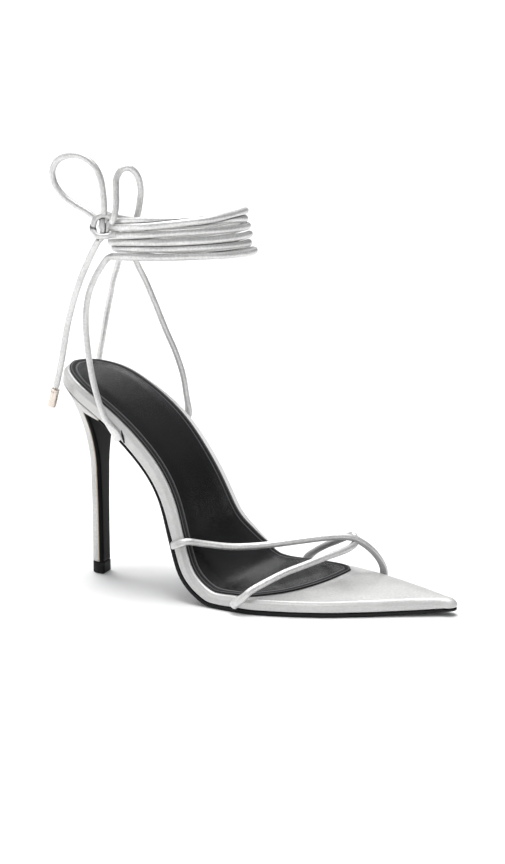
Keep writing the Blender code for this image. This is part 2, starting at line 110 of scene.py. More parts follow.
# place along the foot, midline towards the big toe, half width
PLAN = (
    (0, 0.0, 25.3), (26, 0.0, 25.3), (53, 0.8, 24.8), (79, 1.2, 23.7), (111, 1.0, 26.5), (132, 0.5, 31.9),
    (153, 0.7, 36.2), (166, 2.1, 38.7), (182, 3.5, 36.9), (201, 4.5, 32.2), (219, 4.9, 24.6),
    (240, 4.2, 13.8), (258, 3.0, 4.4),
)
# place along the foot, degrees by which the big toe's side is higher
ROLL = (
    (0, 0.0), (32, 6.6), (66, 11.2), (95, 13.0), (124, 13.7), (143, 9.6), (150, 4.8), (156, 1.6),
    (162, 0.2), (166, 0.0), (264, 0.0),
)


def column(rows, index, at):
    """Values of one column of a table, on a smooth curve that never overshoots its rows."""
    x = np.array([row[0] for row in rows], float)
    y = np.array([row[index] for row in rows], float)
    rate = np.diff(y) / np.diff(x)
    slope = np.concatenate([rate[:1], np.zeros(len(x) - 2), rate[-1:]])
    for i in range(1, len(x) - 1):
        if rate[i - 1] * rate[i] > 0:
            slope[i] = 2 * rate[i - 1] * rate[i] / (rate[i - 1] + rate[i])
    at = np.clip(np.asarray(at, float), x[0], x[-1])
    i = np.clip(np.searchsorted(x, at) - 1, 0, len(x) - 2)
    width = x[i + 1] - x[i]
    t = (at - x[i]) / width
    start = (1 + 2 * t) * (1 - t) ** 2 * y[i] + t * (1 - t) ** 2 * width * slope[i]
    end = t * t * (3 - 2 * t) * y[i + 1] + t * t * (t - 1) * width * slope[i + 1]
    return start + end


def soft_step(value, low, high):
    """0 below low, 1 above high, and an easy curve between."""
    t = np.clip((np.asarray(value, float) - low) / (high - low), 0, 1)
    return t * t * (3 - 2 * t)


ARC_POINTS = 1057
ARC = np.linspace(0, FOOT_LENGTH, ARC_POINTS)
ARC_SLOPE = np.radians(column(SLOPE, 1, ARC))


def summed(rate):
    """The sum of a rate along the foot, counted from the heel's back."""
    return np.concatenate([[0], np.cumsum((rate[1:] + rate[:-1]) / 2 * (ARC[1] - ARC[0]))])


ARC_X = summed(np.cos(ARC_SLOPE))
ARC_Z = -summed(np.sin(ARC_SLOPE))
ARC_Z += SOLE_FOREPART - ARC_Z.min()
REST_X = float(np.interp(REST_ARC, ARC, ARC_X))


def world(points):
    """Shoe millimetres, counted from the heel's back, in the model's metres."""
    return (np.asarray(points, float) - (REST_X, 0.0, 0.0)) * MM


def bed_mm(arc, across, height):
    """The bent places of flat points, in shoe millimetres."""
    arc, across, height = np.broadcast_arrays(*(np.asarray(v, float) for v in (arc, across, height)))
    slope = np.interp(arc, ARC, ARC_SLOPE)
    lift = height + across * np.tan(np.radians(column(ROLL, 1, arc)))
    x = np.interp(arc, ARC, ARC_X) + lift * np.sin(slope)
    z = np.interp(arc, ARC, ARC_Z) + lift * np.cos(slope)
    return np.stack([x, across, z], axis=-1)


print(f"the foot stands {ARC_Z[0]:.0f} mm high at the heel and {ARC_X[-1]:.0f} mm long on the floor")

# %% [markdown]
# ## Cords
#
# The straps and the tie are narrow strips of leather sewn into round cord. Blender's curve bevel would make
# a tube at once, but it doesn't say which side of the cord faces the foot, and the seam and the rough inner
# side need that. So each tube is made from rings of points. Three numbers are kept at every point: how far
# along the cord it is, how much it faces out, and how much it faces sideways.

# %% Make a mesh from rows of points
WELD_M = 0.000002


def piece_from(name, points, faces, kept=None):
    """An object with smooth shading from points (metres), faces and numbers kept at each point."""
    mesh = bpy.data.meshes.new(name)
    mesh.from_pydata([tuple(p) for p in np.asarray(points, float)], [], [tuple(f) for f in faces])
    for key, values in (kept or {}).items():
        number = mesh.attributes.new(key, "FLOAT", "POINT")
        number.data.foreach_set("value", np.asarray(values, np.float32).ravel())
    bm = bmesh.new()
    bm.from_mesh(mesh)
    bmesh.ops.remove_doubles(bm, verts=bm.verts, dist=WELD_M)
    bmesh.ops.recalc_face_normals(bm, faces=bm.faces)
    if bm.calc_volume(signed=True) < 0:
        bmesh.ops.reverse_faces(bm, faces=bm.faces)
    bm.to_mesh(mesh)
    bm.free()
    mesh.polygons.foreach_set("use_smooth", np.ones(len(mesh.polygons), bool))
    made = bpy.data.objects.new(name, mesh)
    bpy.context.scene.collection.objects.link(made)
    return made


def ring_faces(rows, count):
    """Quads between rows of a closed ring of points."""
    i = np.arange(count)
    j = (i + 1) % count
    quads = np.stack([i, j, count + j, count + i], axis=1)
    return np.concatenate([quads + row * count for row in range(rows - 1)]).tolist()


def solid_of_rings(name, rings, kept=None):
    """A closed piece through rings of points (millimetres), with flat ends."""
    levels, around = rings.shape[:2]
    faces = ring_faces(levels, around)
    faces += [list(range(around))[::-1], list(range((levels - 1) * around, levels * around))]
    return piece_from(name, world(rings.reshape(-1, 3)), faces, kept)


def on_sandal(piece, node=None):
    """Let a piece ride on the sandal's one body, in place of a bare solid."""
    if node:
        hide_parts(node)
    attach(piece, "root")
    print(f"{piece.name}: {len(piece.data.polygons)} faces")


print(f"points within {WELD_M / MM:.3f} mm of each other become one")

# %% Lay out a cord's route
ROUTE_STEP = 0.5
RING_STEP = 0.8
CURVE_STEPS = 16
END_RINGS = 7


def run_along(route):
    """Length along a route at each of its points."""
    return np.concatenate([[0], np.cumsum(np.linalg.norm(np.diff(route, axis=0), axis=1))])


def at_marks(route, marks):
    """Points of a route at given lengths along it."""
    run = run_along(route)
    return np.stack([np.interp(marks, run, route[:, k]) for k in range(route.shape[1])], axis=1)


def smooth_route(points, spacing=ROUTE_STEP):
    """Points at an even spacing on a smooth curve through a route's own points."""
    given = np.asarray(points, float)
    ends = np.vstack([2 * given[0] - given[1], given, 2 * given[-1] - given[-2]])
    t = np.arange(CURVE_STEPS)[:, None] / CURVE_STEPS
    fine = []
    for a, b, c, d in zip(ends, ends[1:], ends[2:], ends[3:]):
        square = (2 * a - 5 * b + 4 * c - d) * t ** 2
        cube = (3 * b - a - 3 * c + d) * t ** 3
        fine.append(0.5 * (2 * b + (c - a) * t + square + cube))
    fine = np.vstack([*fine, given[-1:]])
    length = run_along(fine)[-1]
    return at_marks(fine, np.linspace(0, length, max(3, round(length / spacing) + 1)))


def end_steps(route, rounding, spacing=RING_STEP):
    """Closer points at both ends of a route, where the cord is rounded off."""
    length = run_along(route)[-1]
    close = rounding * (1 - np.cos(np.linspace(0, np.pi / 2, END_RINGS)))
    middle = np.linspace(rounding, length - rounding, max(3, round((length - 2 * rounding) / spacing)))
    return at_marks(route, np.concatenate([close[:-1], middle, length - close[-2::-1]]))


print(f"a cord has a ring every {RING_STEP} mm and {END_RINGS} closer ones at each end")

# %% Make a cord
# shares of the diameter over which a cord's end is rounded off
ROUND_END = 0.45
FLAT_END = 0.3


def unit(vectors):
    return vectors / np.maximum(np.linalg.norm(vectors, axis=1, keepdims=True), 1e-9)


def carried_facing(route, start):
    """A facing direction carried along a route without twisting."""
    along = unit(np.gradient(route, axis=0))
    facing = [np.asarray(start, float)]
    for tangent in along:
        held = facing[-1] - tangent * float(facing[-1] @ tangent)
        facing.append(held / max(float(np.linalg.norm(held)), 1e-9))
    return np.array(facing[1:])


def cord_rings(route, facing, diameter, sides, wide=1.0, thick=1.0, cap=ROUND_END):
    """Points, faces and kept numbers of a cord with rounded ends; lengths are millimetres."""
    along = unit(np.gradient(route, axis=0))
    out = unit(facing - along * np.sum(facing * along, axis=1, keepdims=True))
    side = np.cross(along, out)
    run = run_along(route)
    near_end = np.clip(np.minimum(run, run[-1] - run) / (cap * diameter), 0, 1)
    half = diameter / 2 * np.sqrt(np.maximum(1 - (1 - near_end) ** 2, 0.0))
    angle = np.linspace(0, 2 * np.pi, sides, endpoint=False)
    reach_out = (half * thick)[:, None, None] * np.cos(angle)[None, :, None] * out[:, None, :]
    reach_side = (half * wide)[:, None, None] * np.sin(angle)[None, :, None] * side[:, None, :]
    points = (route[:, None, :] + reach_out + reach_side).reshape(-1, 3)
    kept = {
        "along_mm": np.repeat(run, sides),
        "outer": np.tile(np.cos(angle), len(run)),
        "side": np.tile(np.sin(angle), len(run)),
    }
    return points, ring_faces(len(run), sides), kept


def cord_piece(name, cords):
    """One object from several cords' rings."""
    points, faces, kept = [], [], {}
    for rings, quads, numbers in cords:
        first = sum(len(p) for p in points)
        points.append(rings)
        faces += [[corner + first for corner in quad] for quad in quads]
        for key, values in numbers.items():
            kept.setdefault(key, []).append(values)
    joined = {key: np.concatenate(values) for key, values in kept.items()}
    return piece_from(name, world(np.vstack(points)), faces, joined)


print(f"a cord's end is rounded over {ROUND_END:.0%} of its diameter")

# %% [markdown]
# ## The bow
#
# The tie ends in a bow at the back of the ankle: two standing loops and two hanging ends with metal tips.
# The routes are the same points, chosen along the picture's cord, that the CAD model uses.

# %% Lay the loops and the hanging ends
TIE_DIAMETER = 3.2
TIE_SIDES = 20
BOW_FACING = (0.2, -1.0, 0.2)
LOOP_BACK = (
    (34.0, -30.2, 195.0), (28.2, -30.1, 198.4), (21.6, -30.0, 201.6), (15.6, -30.0, 205.4),
    (11.0, -30.0, 210.8), (9.4, -30.0, 216.8), (11.4, -30.0, 221.8), (15.8, -30.0, 225.0),
    (22.2, -30.0, 226.2), (28.4, -30.0, 224.6), (33.4, -30.0, 220.6), (36.2, -30.0, 215.0),
    (37.4, -30.0, 208.6), (37.9, -30.0, 202.0), (37.8, -29.8, 196.4),
)
LOOP_FRONT = (
    (42.0, -31.6, 193.0), (44.3, -32.1, 196.6), (44.7, -30.3, 202.4), (43.8, -28.2, 209.6),
    (43.3, -26.4, 215.2), (45.2, -24.4, 219.4), (48.6, -22.2, 220.0), (51.6, -20.2, 216.4),
    (52.6, -18.4, 209.4), (51.2, -17.2, 201.2), (49.8, -17.0, 195.6), (48.8, -18.2, 190.4),
)
END_BACK = (
    (35.2, -30.6, 185.0), (31.2, -30.5, 178.2), (25.4, -29.8, 167.2), (21.8, -29.4, 159.0),
    (18.9, -29.1, 151.2), (15.2, -28.5, 139.0), (12.4, -27.9, 126.8), (9.3, -27.2, 114.4),
    (6.7, -26.7, 105.4),
)
END_FRONT = (
    (28.9, 10.4, 171.4), (26.3, 11.0, 169.4), (23.9, 12.8, 164.4), (19.6, 16.2, 155.8),
    (16.8, 18.2, 147.6), (13.7, 20.6, 138.8), (9.2, 24.2, 125.0), (5.6, 26.8, 113.2), (3.6, 28.2, 105.6),
)
FREE_CORDS = {
    "bow_loop_back": LOOP_BACK,
    "bow_loop_front": LOOP_FRONT,
    "tie_end_back": END_BACK,
    "tie_end_front": END_FRONT,
}
CORD_ROUTES = {}
CORD_PIECES = {}
for node, points in FREE_CORDS.items():
    route = end_steps(smooth_route(points), ROUND_END * TIE_DIAMETER)
    rings = cord_rings(route, carried_facing(route, BOW_FACING), TIE_DIAMETER, TIE_SIDES)
    made = cord_piece(node + "_cord", [rings])
    on_sandal(made, node)
    CORD_ROUTES[node] = route
    CORD_PIECES[node] = made
    print(node, f"{run_along(route)[-1]:.0f} mm of cord")

# %% [markdown]
# ## Metal tips
#
# Each hanging end is closed by a small metal tube, squeezed on. It is a turned shape, so a short profile of
# radius and length, swept round the cord's own direction, makes it: a rolled lip, a shallow squeeze line and
# a rounded end.

# %% Turn the metal tips
# distance from the cord's end, radius
AGLET_PROFILE = (
    (0.30, 1.50), (0.32, 1.95), (0.45, 2.14), (0.75, 2.20), (1.05, 2.16), (1.25, 2.02), (1.50, 1.98),
    (1.75, 2.04), (2.00, 2.14), (2.60, 2.17), (5.00, 2.18), (8.80, 2.18), (9.60, 2.14), (10.05, 2.02),
    (10.26, 1.82), (10.30, 1.55), (10.12, 1.42), (9.60, 1.38), (9.20, 1.00), (9.15, 0.02),
)
AGLET_SIDES = 40
AGLET_STEP = 0.12
profile = smooth_route([(a, r, 0.0) for a, r in AGLET_PROFILE], AGLET_STEP)
turn = np.linspace(0, 2 * np.pi, AGLET_SIDES, endpoint=False)
AGLETS = {}
for node, cord in (("aglet_back", "tie_end_back"), ("aglet_front", "tie_end_front")):
    before, last = np.array(FREE_CORDS[cord][-2:])
    along, across = last - before, np.cross(last - before, (0.0, 1.0, 0.0))
    along, across = along / np.linalg.norm(along), across / np.linalg.norm(across)
    spoke = np.cos(turn)[:, None] * across + np.sin(turn)[:, None] * np.cross(along, across)
    axis = last + profile[:, :1] * along
    rings = axis[:, None, :] + profile[:, 1, None, None] * spoke[None, :, :]
    made = solid_of_rings(node + "_tube", rings, {"along_mm": np.repeat(profile[:, 0], AGLET_SIDES)})
    on_sandal(made, node)
    AGLETS[cord] = made

for node, made in CORD_PIECES.items():
    route = world(CORD_ROUTES[node])
    [tuple(p) for p in route[::4]] + [tuple(route[-1])]
print("declared", len(CORD_PIECES), "loose cords")

# %% [markdown]
# ## The wound tie
#
# The same cord goes six times round the ankle. A plain helix looks like a spring, because every turn is the
# same. A real winding wanders: one turn climbs over another, and some stand further out. So the helix has a
# short table of places along it where it climbs, drops or stands out, and a slow waver on top.

# %% Wind the ankle tie
WRAP_CENTRE = (64.2, 0.0, 186.0)
WRAP_HALF_LENGTH = 37.2
WRAP_HALF_WIDTH = 33.0
WRAP_PITCH = 3.75
WRAP_FAN = 0.07
WRAP_TURNS = 6
WRAP_START_DEG = 225.0
WRAP_END_DEG = 205.0
WRAP_FULL_DEG = WRAP_END_DEG + 360 * WRAP_TURNS
WRAP_OVERRUN_DEG = 17.0
WRAP_LAST = WRAP_FULL_DEG + WRAP_OVERRUN_DEG
# degrees from the full winding between which the last turn leaves the others, and how far out
LEAVING = (-8.0, 18.0)
LEAVING_OUT = 3.4
WRAP_FRONT_RISE = 0.070
WRAP_SIDE_RISE = 0.080
WRAP_FAR_DROP = 6.5
WRAP_DROP_FROM_DEG = 20.0
WRAP_DIAMETER = 3.65
# distance over which the painted shade between touching cords fades out
PAINTED_SHADE_REACH = 0.9
# degrees along the winding, climb in turns, distance further out
WANDER = (
    (225, 0.0, 0.0), (300, 0.0, 0.2), (380, -0.03, 2.4), (470, 0.0, 0.4), (555, 0.05, -4.6),
    (660, 0.06, 0.3), (740, 0.0, -0.6), (830, 0.0, 0.2), (915, 0.0, -2.6), (1010, -0.06, 0.5),
    (1100, 0.02, -0.1), (1190, 0.0, 0.2), (1290, 0.0, 0.0), (1380, 0.05, 0.3), (1460, 0.06, -1.2),
    (1550, 0.0, 0.0), (1640, 0.85, 0.0), (1700, 0.95, 0.0), (1755, 0.55, 0.0), (1820, 0.0, -2.4),
    (1910, 0.0, 0.2), (1965, -0.4, 2.9), (2020, -0.95, 1.6), (2060, -0.90, 2.0), (2105, -0.45, 2.6),
    (2165, 0.0, -2.2), (2200, 0.0, -2.4), (2290, 0.0, 0.0), (2382, 0.0, 0.0),
)
# size (in turns, in millimetres), rate a degree and start of each slow wave
CLIMB_WAVES = ((0.05, 0.031, 1.0), (0.04, 0.047, 0.4))
OUT_WAVES = ((0.22, 0.026, 0.0), (0.16, 0.061, 2.0))


def waver(waves, degrees):
    """A slow unevenness along the winding."""
    return sum(size * np.sin(degrees * rate + start) for size, rate, start in waves)


def wrap_point(degrees):
    """Places on the winding, counted in degrees from the little toe's side round the front."""
    degrees = np.asarray(degrees, float)
    angle = np.radians(degrees)
    climb = column(WANDER, 1, degrees) + waver(CLIMB_WAVES, degrees)
    out = column(WANDER, 2, degrees) + waver(OUT_WAVES, degrees)
    out = out + LEAVING_OUT * soft_step(degrees - WRAP_FULL_DEG, *LEAVING)
    across = WRAP_HALF_LENGTH * np.cos(angle)
    side = WRAP_HALF_WIDTH * np.sin(angle)
    outward = unit(np.stack([np.cos(angle) / WRAP_HALF_LENGTH, np.sin(angle) / WRAP_HALF_WIDTH,
                             0 * angle], axis=1))
    turns = (degrees - WRAP_START_DEG) / 360 - WRAP_TURNS / 2 + climb
    far = np.maximum(0.0, np.sin(angle - math.radians(WRAP_DROP_FROM_DEG)))
    height = WRAP_PITCH * turns * (1 + WRAP_FAN * np.cos(angle)) + WRAP_FRONT_RISE * across
    height = height - WRAP_SIDE_RISE * side - WRAP_FAR_DROP * far ** 1.5
    route = np.array(WRAP_CENTRE) + np.stack([across, side, height], axis=1) + outward * out[:, None]
    return route, outward


def crevice(points, others, diameter):
    """How near each point is to the other cords' sides, as a share of painted shade: 1 where they touch, 0 a
    short way off.
    """
    apart = np.linalg.norm(points[:, None, :] - others[None, :, :], axis=2).min(axis=1) - diameter / 2
    return np.clip(1 - apart / PAINTED_SHADE_REACH, 0, 1)


WRAP_RINGS = 1500
WRAP_SIDES = 18
RING_BLOCK = 10
winding, winding_out = wrap_point(np.linspace(WRAP_START_DEG, WRAP_LAST, WRAP_RINGS))
half_turn = round(180 * WRAP_RINGS / (WRAP_LAST - WRAP_START_DEG))
wrap_rings = cord_rings(winding, winding_out, WRAP_DIAMETER, WRAP_SIDES)
# painted shade between the turns: each point keeps how near it lies to the neighbouring turns
deep = []
for first in range(0, WRAP_RINGS, RING_BLOCK):
    block = wrap_rings[0][first * WRAP_SIDES:(first + RING_BLOCK) * WRAP_SIDES]
    others = np.concatenate([winding[:max(0, first - half_turn)], winding[first + half_turn:]])
    deep.append(crevice(block, others, WRAP_DIAMETER))
wrap_rings[2]["crevice"] = np.concatenate(deep)
wrap = cord_piece("ankle_wrap_cord", [wrap_rings])
on_sandal(wrap, "ankle_wrap")
print(f"wound tie: {run_along(winding)[-1] / 1000:.2f} m of cord")

# %% [markdown]
# ## Risers and knot
#
# From each side of the shank a tie rises to the winding and runs into its lowest turn. Its foot is pressed
# flat where it goes between rim and sole, so its section is squeezed towards the rim and spread sideways
# there. Beside the near foot a thin black lens on the rim's wall is painted shade, for a small dark slot. The
# knot is not a ball: it is four short runs of cord round each other, laid in the plane that faces the
# picture.

# %% Raise the ties from the shank
BACK_ROUND = 25.0
TOE_ROUND = 6.0
# room between pieces that lie against each other
GAP = 0.3
# lengths from a cord's end between which it is less and less pressed
FOOT_PRESS = (3.0, 13.0)
TIE_PRESSED, TIE_SPREAD = 0.45, 0.42


def rim_edges(arc):
    """Outline of the footbed: little toe's side, big toe's side."""
    arc = np.asarray(arc, float)
    back = np.sqrt(np.maximum(0, 1 - np.maximum(0, 1 - arc / BACK_ROUND) ** 2))
    into = np.maximum(0, (arc - FOOT_LENGTH + TOE_ROUND) / TOE_ROUND)
    half = column(PLAN, 2, arc) * back * np.sqrt(np.maximum(0, 1 - into ** 2))
    middle = column(PLAN, 1, arc)
    return middle - half, middle + half


def rim_foot(arc, side, out, height):
    """A cord's place beside the rim's wall: side 0 is the little toe's, 1 the big toe's."""
    edge = float(rim_edges(arc)[side])
    return tuple(bed_mm(arc, edge + out * math.copysign(1.0, edge), height))


RISER_LATERAL = (
    (40.4, -26.4, 83.4), (38.6, -26.7, 86.2), (34.7, -27.0, 92.4), (31.2, -26.9, 101.0),
    (27.4, -25.9, 112.8), (25.0, -25.5, 127.2), (23.9, -25.0, 142.0), (25.0, -24.0, 154.0),
    (28.2, -23.2, 163.0), (31.8, -21.6, 169.8), (34.4, -21.3, 173.2), (37.4, -22.9, 175.1),
    (40.4, -25.2, 175.7), (42.4, -26.6, 175.9),
)
RISER_MEDIAL = (
    (56.6, 27.9, 83.0), (57.2, 28.1, 86.0), (55.8, 28.3, 93.6), (53.7, 28.3, 105.6), (49.7, 27.9, 117.5),
    (44.6, 27.2, 129.0), (39.3, 26.0, 142.6), (34.6, 24.2, 155.0), (31.8, 21.9, 162.4),
    (30.9, 19.6, 167.4), (32.4, 18.8, 169.8),
)
TIE_OUT = TIE_DIAMETER / 2 + GAP
# the riser's points, its foot, and the side that it faces
RISER_PLACES = {
    "tie_riser_lateral": (RISER_LATERAL, rim_foot(51, 0, TIE_OUT, 0.6), (0.0, -1.0, 0.0)),
    "tie_riser_medial": (RISER_MEDIAL, rim_foot(61, 1, TIE_OUT, 0.6), (0.0, 1.0, 0.0)),
}


def lying_cord(points, diameter, sides, outward, both_ends, pressed, spread):
    """Rings of a cord whose first end, or both, are pressed flat against the rim and spread sideways."""
    route = end_steps(smooth_route(points), FLAT_END * diameter)
    run = run_along(route)
    near = 1 - soft_step(run, *FOOT_PRESS)
    if both_ends:
        near = np.maximum(near, 1 - soft_step(run[-1] - run, *FOOT_PRESS))
    out = outward(route)
    thick, wide = 1 - pressed * near, 1 + spread * near
    lying = route - out * (diameter / 2 * (1 - thick))[:, None]
    return cord_rings(lying, out, diameter, sides, wide=wide, thick=thick, cap=FLAT_END)


RISERS = []
for node, (points, foot, facing) in RISER_PLACES.items():
    rings = lying_cord([foot, *points], TIE_DIAMETER, TIE_SIDES,
                       lambda route: np.tile(facing, (len(route), 1)), False, TIE_PRESSED, TIE_SPREAD)
    made = cord_piece(node + "_cord", [rings])
    on_sandal(made, node)
    RISERS.append(made)
    print(node, f"{rings[2]['along_mm'].max():.0f} mm of cord")

# %% Paint the shade of the slot beside the near foot
# places on the rim: arc position, height; and half the slot's width
SLOT_TOP = np.array((47.8, 4.9))
SLOT_END = np.array((53.6, 1.0))
SLOT_ACROSS = np.array((0.56, 0.83))
SLOT_HALF = 0.62
SLOT_ROWS = 13
# where the slot's width starts on a half wave, and how much of the wave it follows
WAVE_START, WAVE_SHARE = 0.03, 0.85
# steps across the slot, distance out of the rim's wall
SLOT_SECTION = ((-1, 0.1), (0, 0.28), (1, 0.1), (0, -0.6))
# a thin black lens on the rim's wall: painted shade for the dark slot beside the near foot
slot_rings = []
for share in np.linspace(0, 1, SLOT_ROWS):
    middle = SLOT_TOP + (SLOT_END - SLOT_TOP) * share
    half = SLOT_HALF * math.sin(math.pi * (WAVE_START + WAVE_SHARE * share))
    corners = [(middle + SLOT_ACROSS * way * half, lift) for way, lift in SLOT_SECTION]
    slot_rings.append([rim_foot(arc, 0, lift, height) for (arc, height), lift in corners])
slot_shade = solid_of_rings("painted_slot_shade", np.array(slot_rings))
on_sandal(slot_shade)

# %% Tie the knot
KNOT_CENTRE = np.array((36.9, -30.1, 190.2))
KNOT_CORD = TIE_DIAMETER * 0.94
KNOT_SIDES = 18
KNOT_STEP, KNOT_RING_STEP = 0.3, 0.5
# steps to the right, up and towards the viewer, from the knot's middle
KNOT_RUNS = (
    ((-2.6, -4.6, -0.8), (-4.2, -1.6, 0.4), (-4.4, 2.2, 1.2), (-2.8, 5.4, 1.5), (0.6, 6.7, 1.2),
     (3.9, 5.6, 0.6), (5.4, 2.4, -0.2), (4.6, -1.2, -0.8)),
    ((-4.9, 2.6, -0.8), (-4.8, -0.6, 1.0), (-2.6, -3.6, 2.2), (1.4, -4.0, 2.0), (5.0, -2.8, 0.8),
     (8.4, -1.6, -0.6)),
    ((-0.4, 6.0, -0.6), (-0.2, 2.8, 0.8), (0.4, -0.6, 0.8), (-0.4, -3.8, -0.4), (-1.8, -6.4, -0.8)),
    ((4.4, 4.4, -1.0), (2.8, 2.0, 0.4), (1.9, -1.0, 0.4), (2.6, -4.4, -0.6)),
)
knot_axes = np.array([VIEW_RIGHT, VIEW_UP, VIEW_BACK])
knot_routes = [smooth_route(KNOT_CENTRE + np.array(steps) @ knot_axes, KNOT_STEP) for steps in KNOT_RUNS]
knot_routes = [end_steps(route, ROUND_END * TIE_DIAMETER, KNOT_RING_STEP) for route in knot_routes]
knot_cords = []
for i, route in enumerate(knot_routes):
    rings = cord_rings(route, carried_facing(route, VIEW_BACK), KNOT_CORD, KNOT_SIDES)
    others = np.concatenate(knot_routes[:i] + knot_routes[i + 1:])
    # painted shade where the knot's runs touch each other
    rings[2]["crevice"] = crevice(rings[0], others, KNOT_CORD)
    knot_cords.append(rings)
knot = cord_piece("bow_knot_cords", knot_cords)
on_sandal(knot, "bow_knot")
print("knot of", len(knot_cords), "runs of cord")

# %% [markdown]
# ## Toe straps
#
# Two round straps cross over the toes. Each foot comes over the rim, lies flat against its wall and goes
# in between rim and sole. The side towards the foot is the leather's rough back, which shows where the inner
# strap turns down on the far side, so each ring knows which way is out.

# %% Lay the toe straps
STRAP_DIAMETER = 3.6
STRAP_SIDES = 24
STRAP_PRESSED, STRAP_SPREAD = 0.34, 0.30
STRAP_OUTER = (
    (86.4, -19.6, 29.0), (98.2, -11.7, 26.6), (110.2, -4.4, 26.4), (122.4, 3.2, 27.4),
    (136.0, 11.5, 28.8), (145.0, 17.2, 29.2), (152.2, 21.8, 28.2), (157.4, 25.4, 24.6), (161.4, 28.4, 20.2),
    (164.4, 31.0, 15.0), (166.0, 32.8, 10.4),
)
STRAP_INNER = (
    (115.6, -37.8, 9.4), (118.6, -35.0, 12.4), (124.2, -28.9, 15.7), (131.5, -20.0, 19.2),
    (139.4, -11.0, 21.8), (145.4, -2.8, 23.6), (150.0, 6.4, 24.2), (152.6, 15.4, 24.3), (153.4, 23.4, 25.2),
    (150.8, 28.0, 27.6), (146.0, 32.6, 25.2), (139.4, 36.4, 21.2), (131.6, 39.8, 16.8), (124.6, 42.4, 12.0),
)
FOOT_AXIS = (2.0, 6.0)
strap_out = STRAP_DIAMETER / 2 + GAP
# both feet of each strap: place along the foot, side, distance out, height
outer_route = [rim_foot(113, 0, strap_out, 0.5), rim_foot(113.2, 0, strap_out, 4.0)]
outer_route += [rim_foot(113.6, 0, 1.4, 6.6), rim_foot(114.6, 0, -1.0, 8.6), *STRAP_OUTER]
outer_route += [rim_foot(215, 1, strap_out + 0.1, 4.0), rim_foot(215, 1, strap_out + 0.1, 0.6)]
inner_route = [rim_foot(158, 0, strap_out, 0.9), rim_foot(160, 0, strap_out, 3.6), *STRAP_INNER]
inner_route += [rim_foot(168.5, 1, strap_out, 5.2), rim_foot(167, 1, strap_out, 0.6)]


def from_foot(route):
    """Directions away from the middle of the foot, across it."""
    return unit((route - (0.0, *FOOT_AXIS)) * (0.0, 1.0, 1.0))


strap_cords = []
for points in (outer_route, inner_route):
    strap_cords.append(lying_cord(points, STRAP_DIAMETER, STRAP_SIDES, from_foot, True,
                                  STRAP_PRESSED, STRAP_SPREAD))
straps = cord_piece("toe_strap_cords", strap_cords)
on_sandal(straps, "toe_straps")

# %% [markdown]
# ## Footbed
#
# The footbed is a shaped board covered in silver leather. Its wall stands nearly upright and turns over a
# bevelled edge, which grows rounder towards the toe's tip. The outline is drawn in from the rim by small
# steps, each with its own height, which gives the wall and the bevel. Across the top the two sides are
# joined by a ladder of points, so that the toe's top can be slightly crowned.

# %% Draw the outline in
TOE_TIP_SHAPE = ((0, 0.0), (192, 0.0), (258, 1.0), (264, 1.0))
BACK_POINTS = 28
SIDE_POINTS = 170
TOE_POINTS = 18
THINNEST = 0.12


def drawn_in(inset, tip_inset=None):
    """Places along and both sides of the outline, drawn in by a distance, or by another at the tip."""
    tip_inset = inset if tip_inset is None else tip_inset
    turn = np.linspace(0, np.pi / 2, BACK_POINTS)
    toe_turn = np.linspace(0, np.pi / 2, TOE_POINTS)
    toe_start = FOOT_LENGTH - TOE_ROUND
    back = inset + (BACK_ROUND - inset) * (1 - np.cos(turn))
    middle = np.linspace(BACK_ROUND, toe_start, SIDE_POINTS)[1:-1]
    arc = np.concatenate([back, middle, toe_start + (TOE_ROUND - tip_inset) * np.sin(toe_turn)])
    share = np.concatenate([np.sin(turn), np.ones(len(middle)), np.cos(toe_turn)])
    lean = column(PLAN, 2, arc + 0.5) - column(PLAN, 2, arc - 0.5)
    distance = inset + (tip_inset - inset) * column(TOE_TIP_SHAPE, 1, arc)
    half = np.maximum(column(PLAN, 2, arc) - distance * np.sqrt(1 + lean ** 2), THINNEST) * share
    centre = column(PLAN, 1, arc)
    return arc, centre - half, centre + half


def loop_of(arc, lateral, medial):
    """Flat closed loop: along the big toe's side to the toe, then back along the little toe's side."""
    along = np.concatenate([arc, arc[-2::-1]])
    across = np.concatenate([medial, lateral[-2::-1]])
    return along, across


print(len(drawn_in(0.0)[0]), "places along each side of the outline")


# %% Build a layer from its outline
def level(arc, across, edge):
    """A flat cover, as high as the edge everywhere."""
    return edge + 0 * across


def arc_of(flat):
    return flat[:, 0]


# share of a ladder's spacing that is even; the rest crowds its points towards the edges
EVEN_SHARE = 0.4


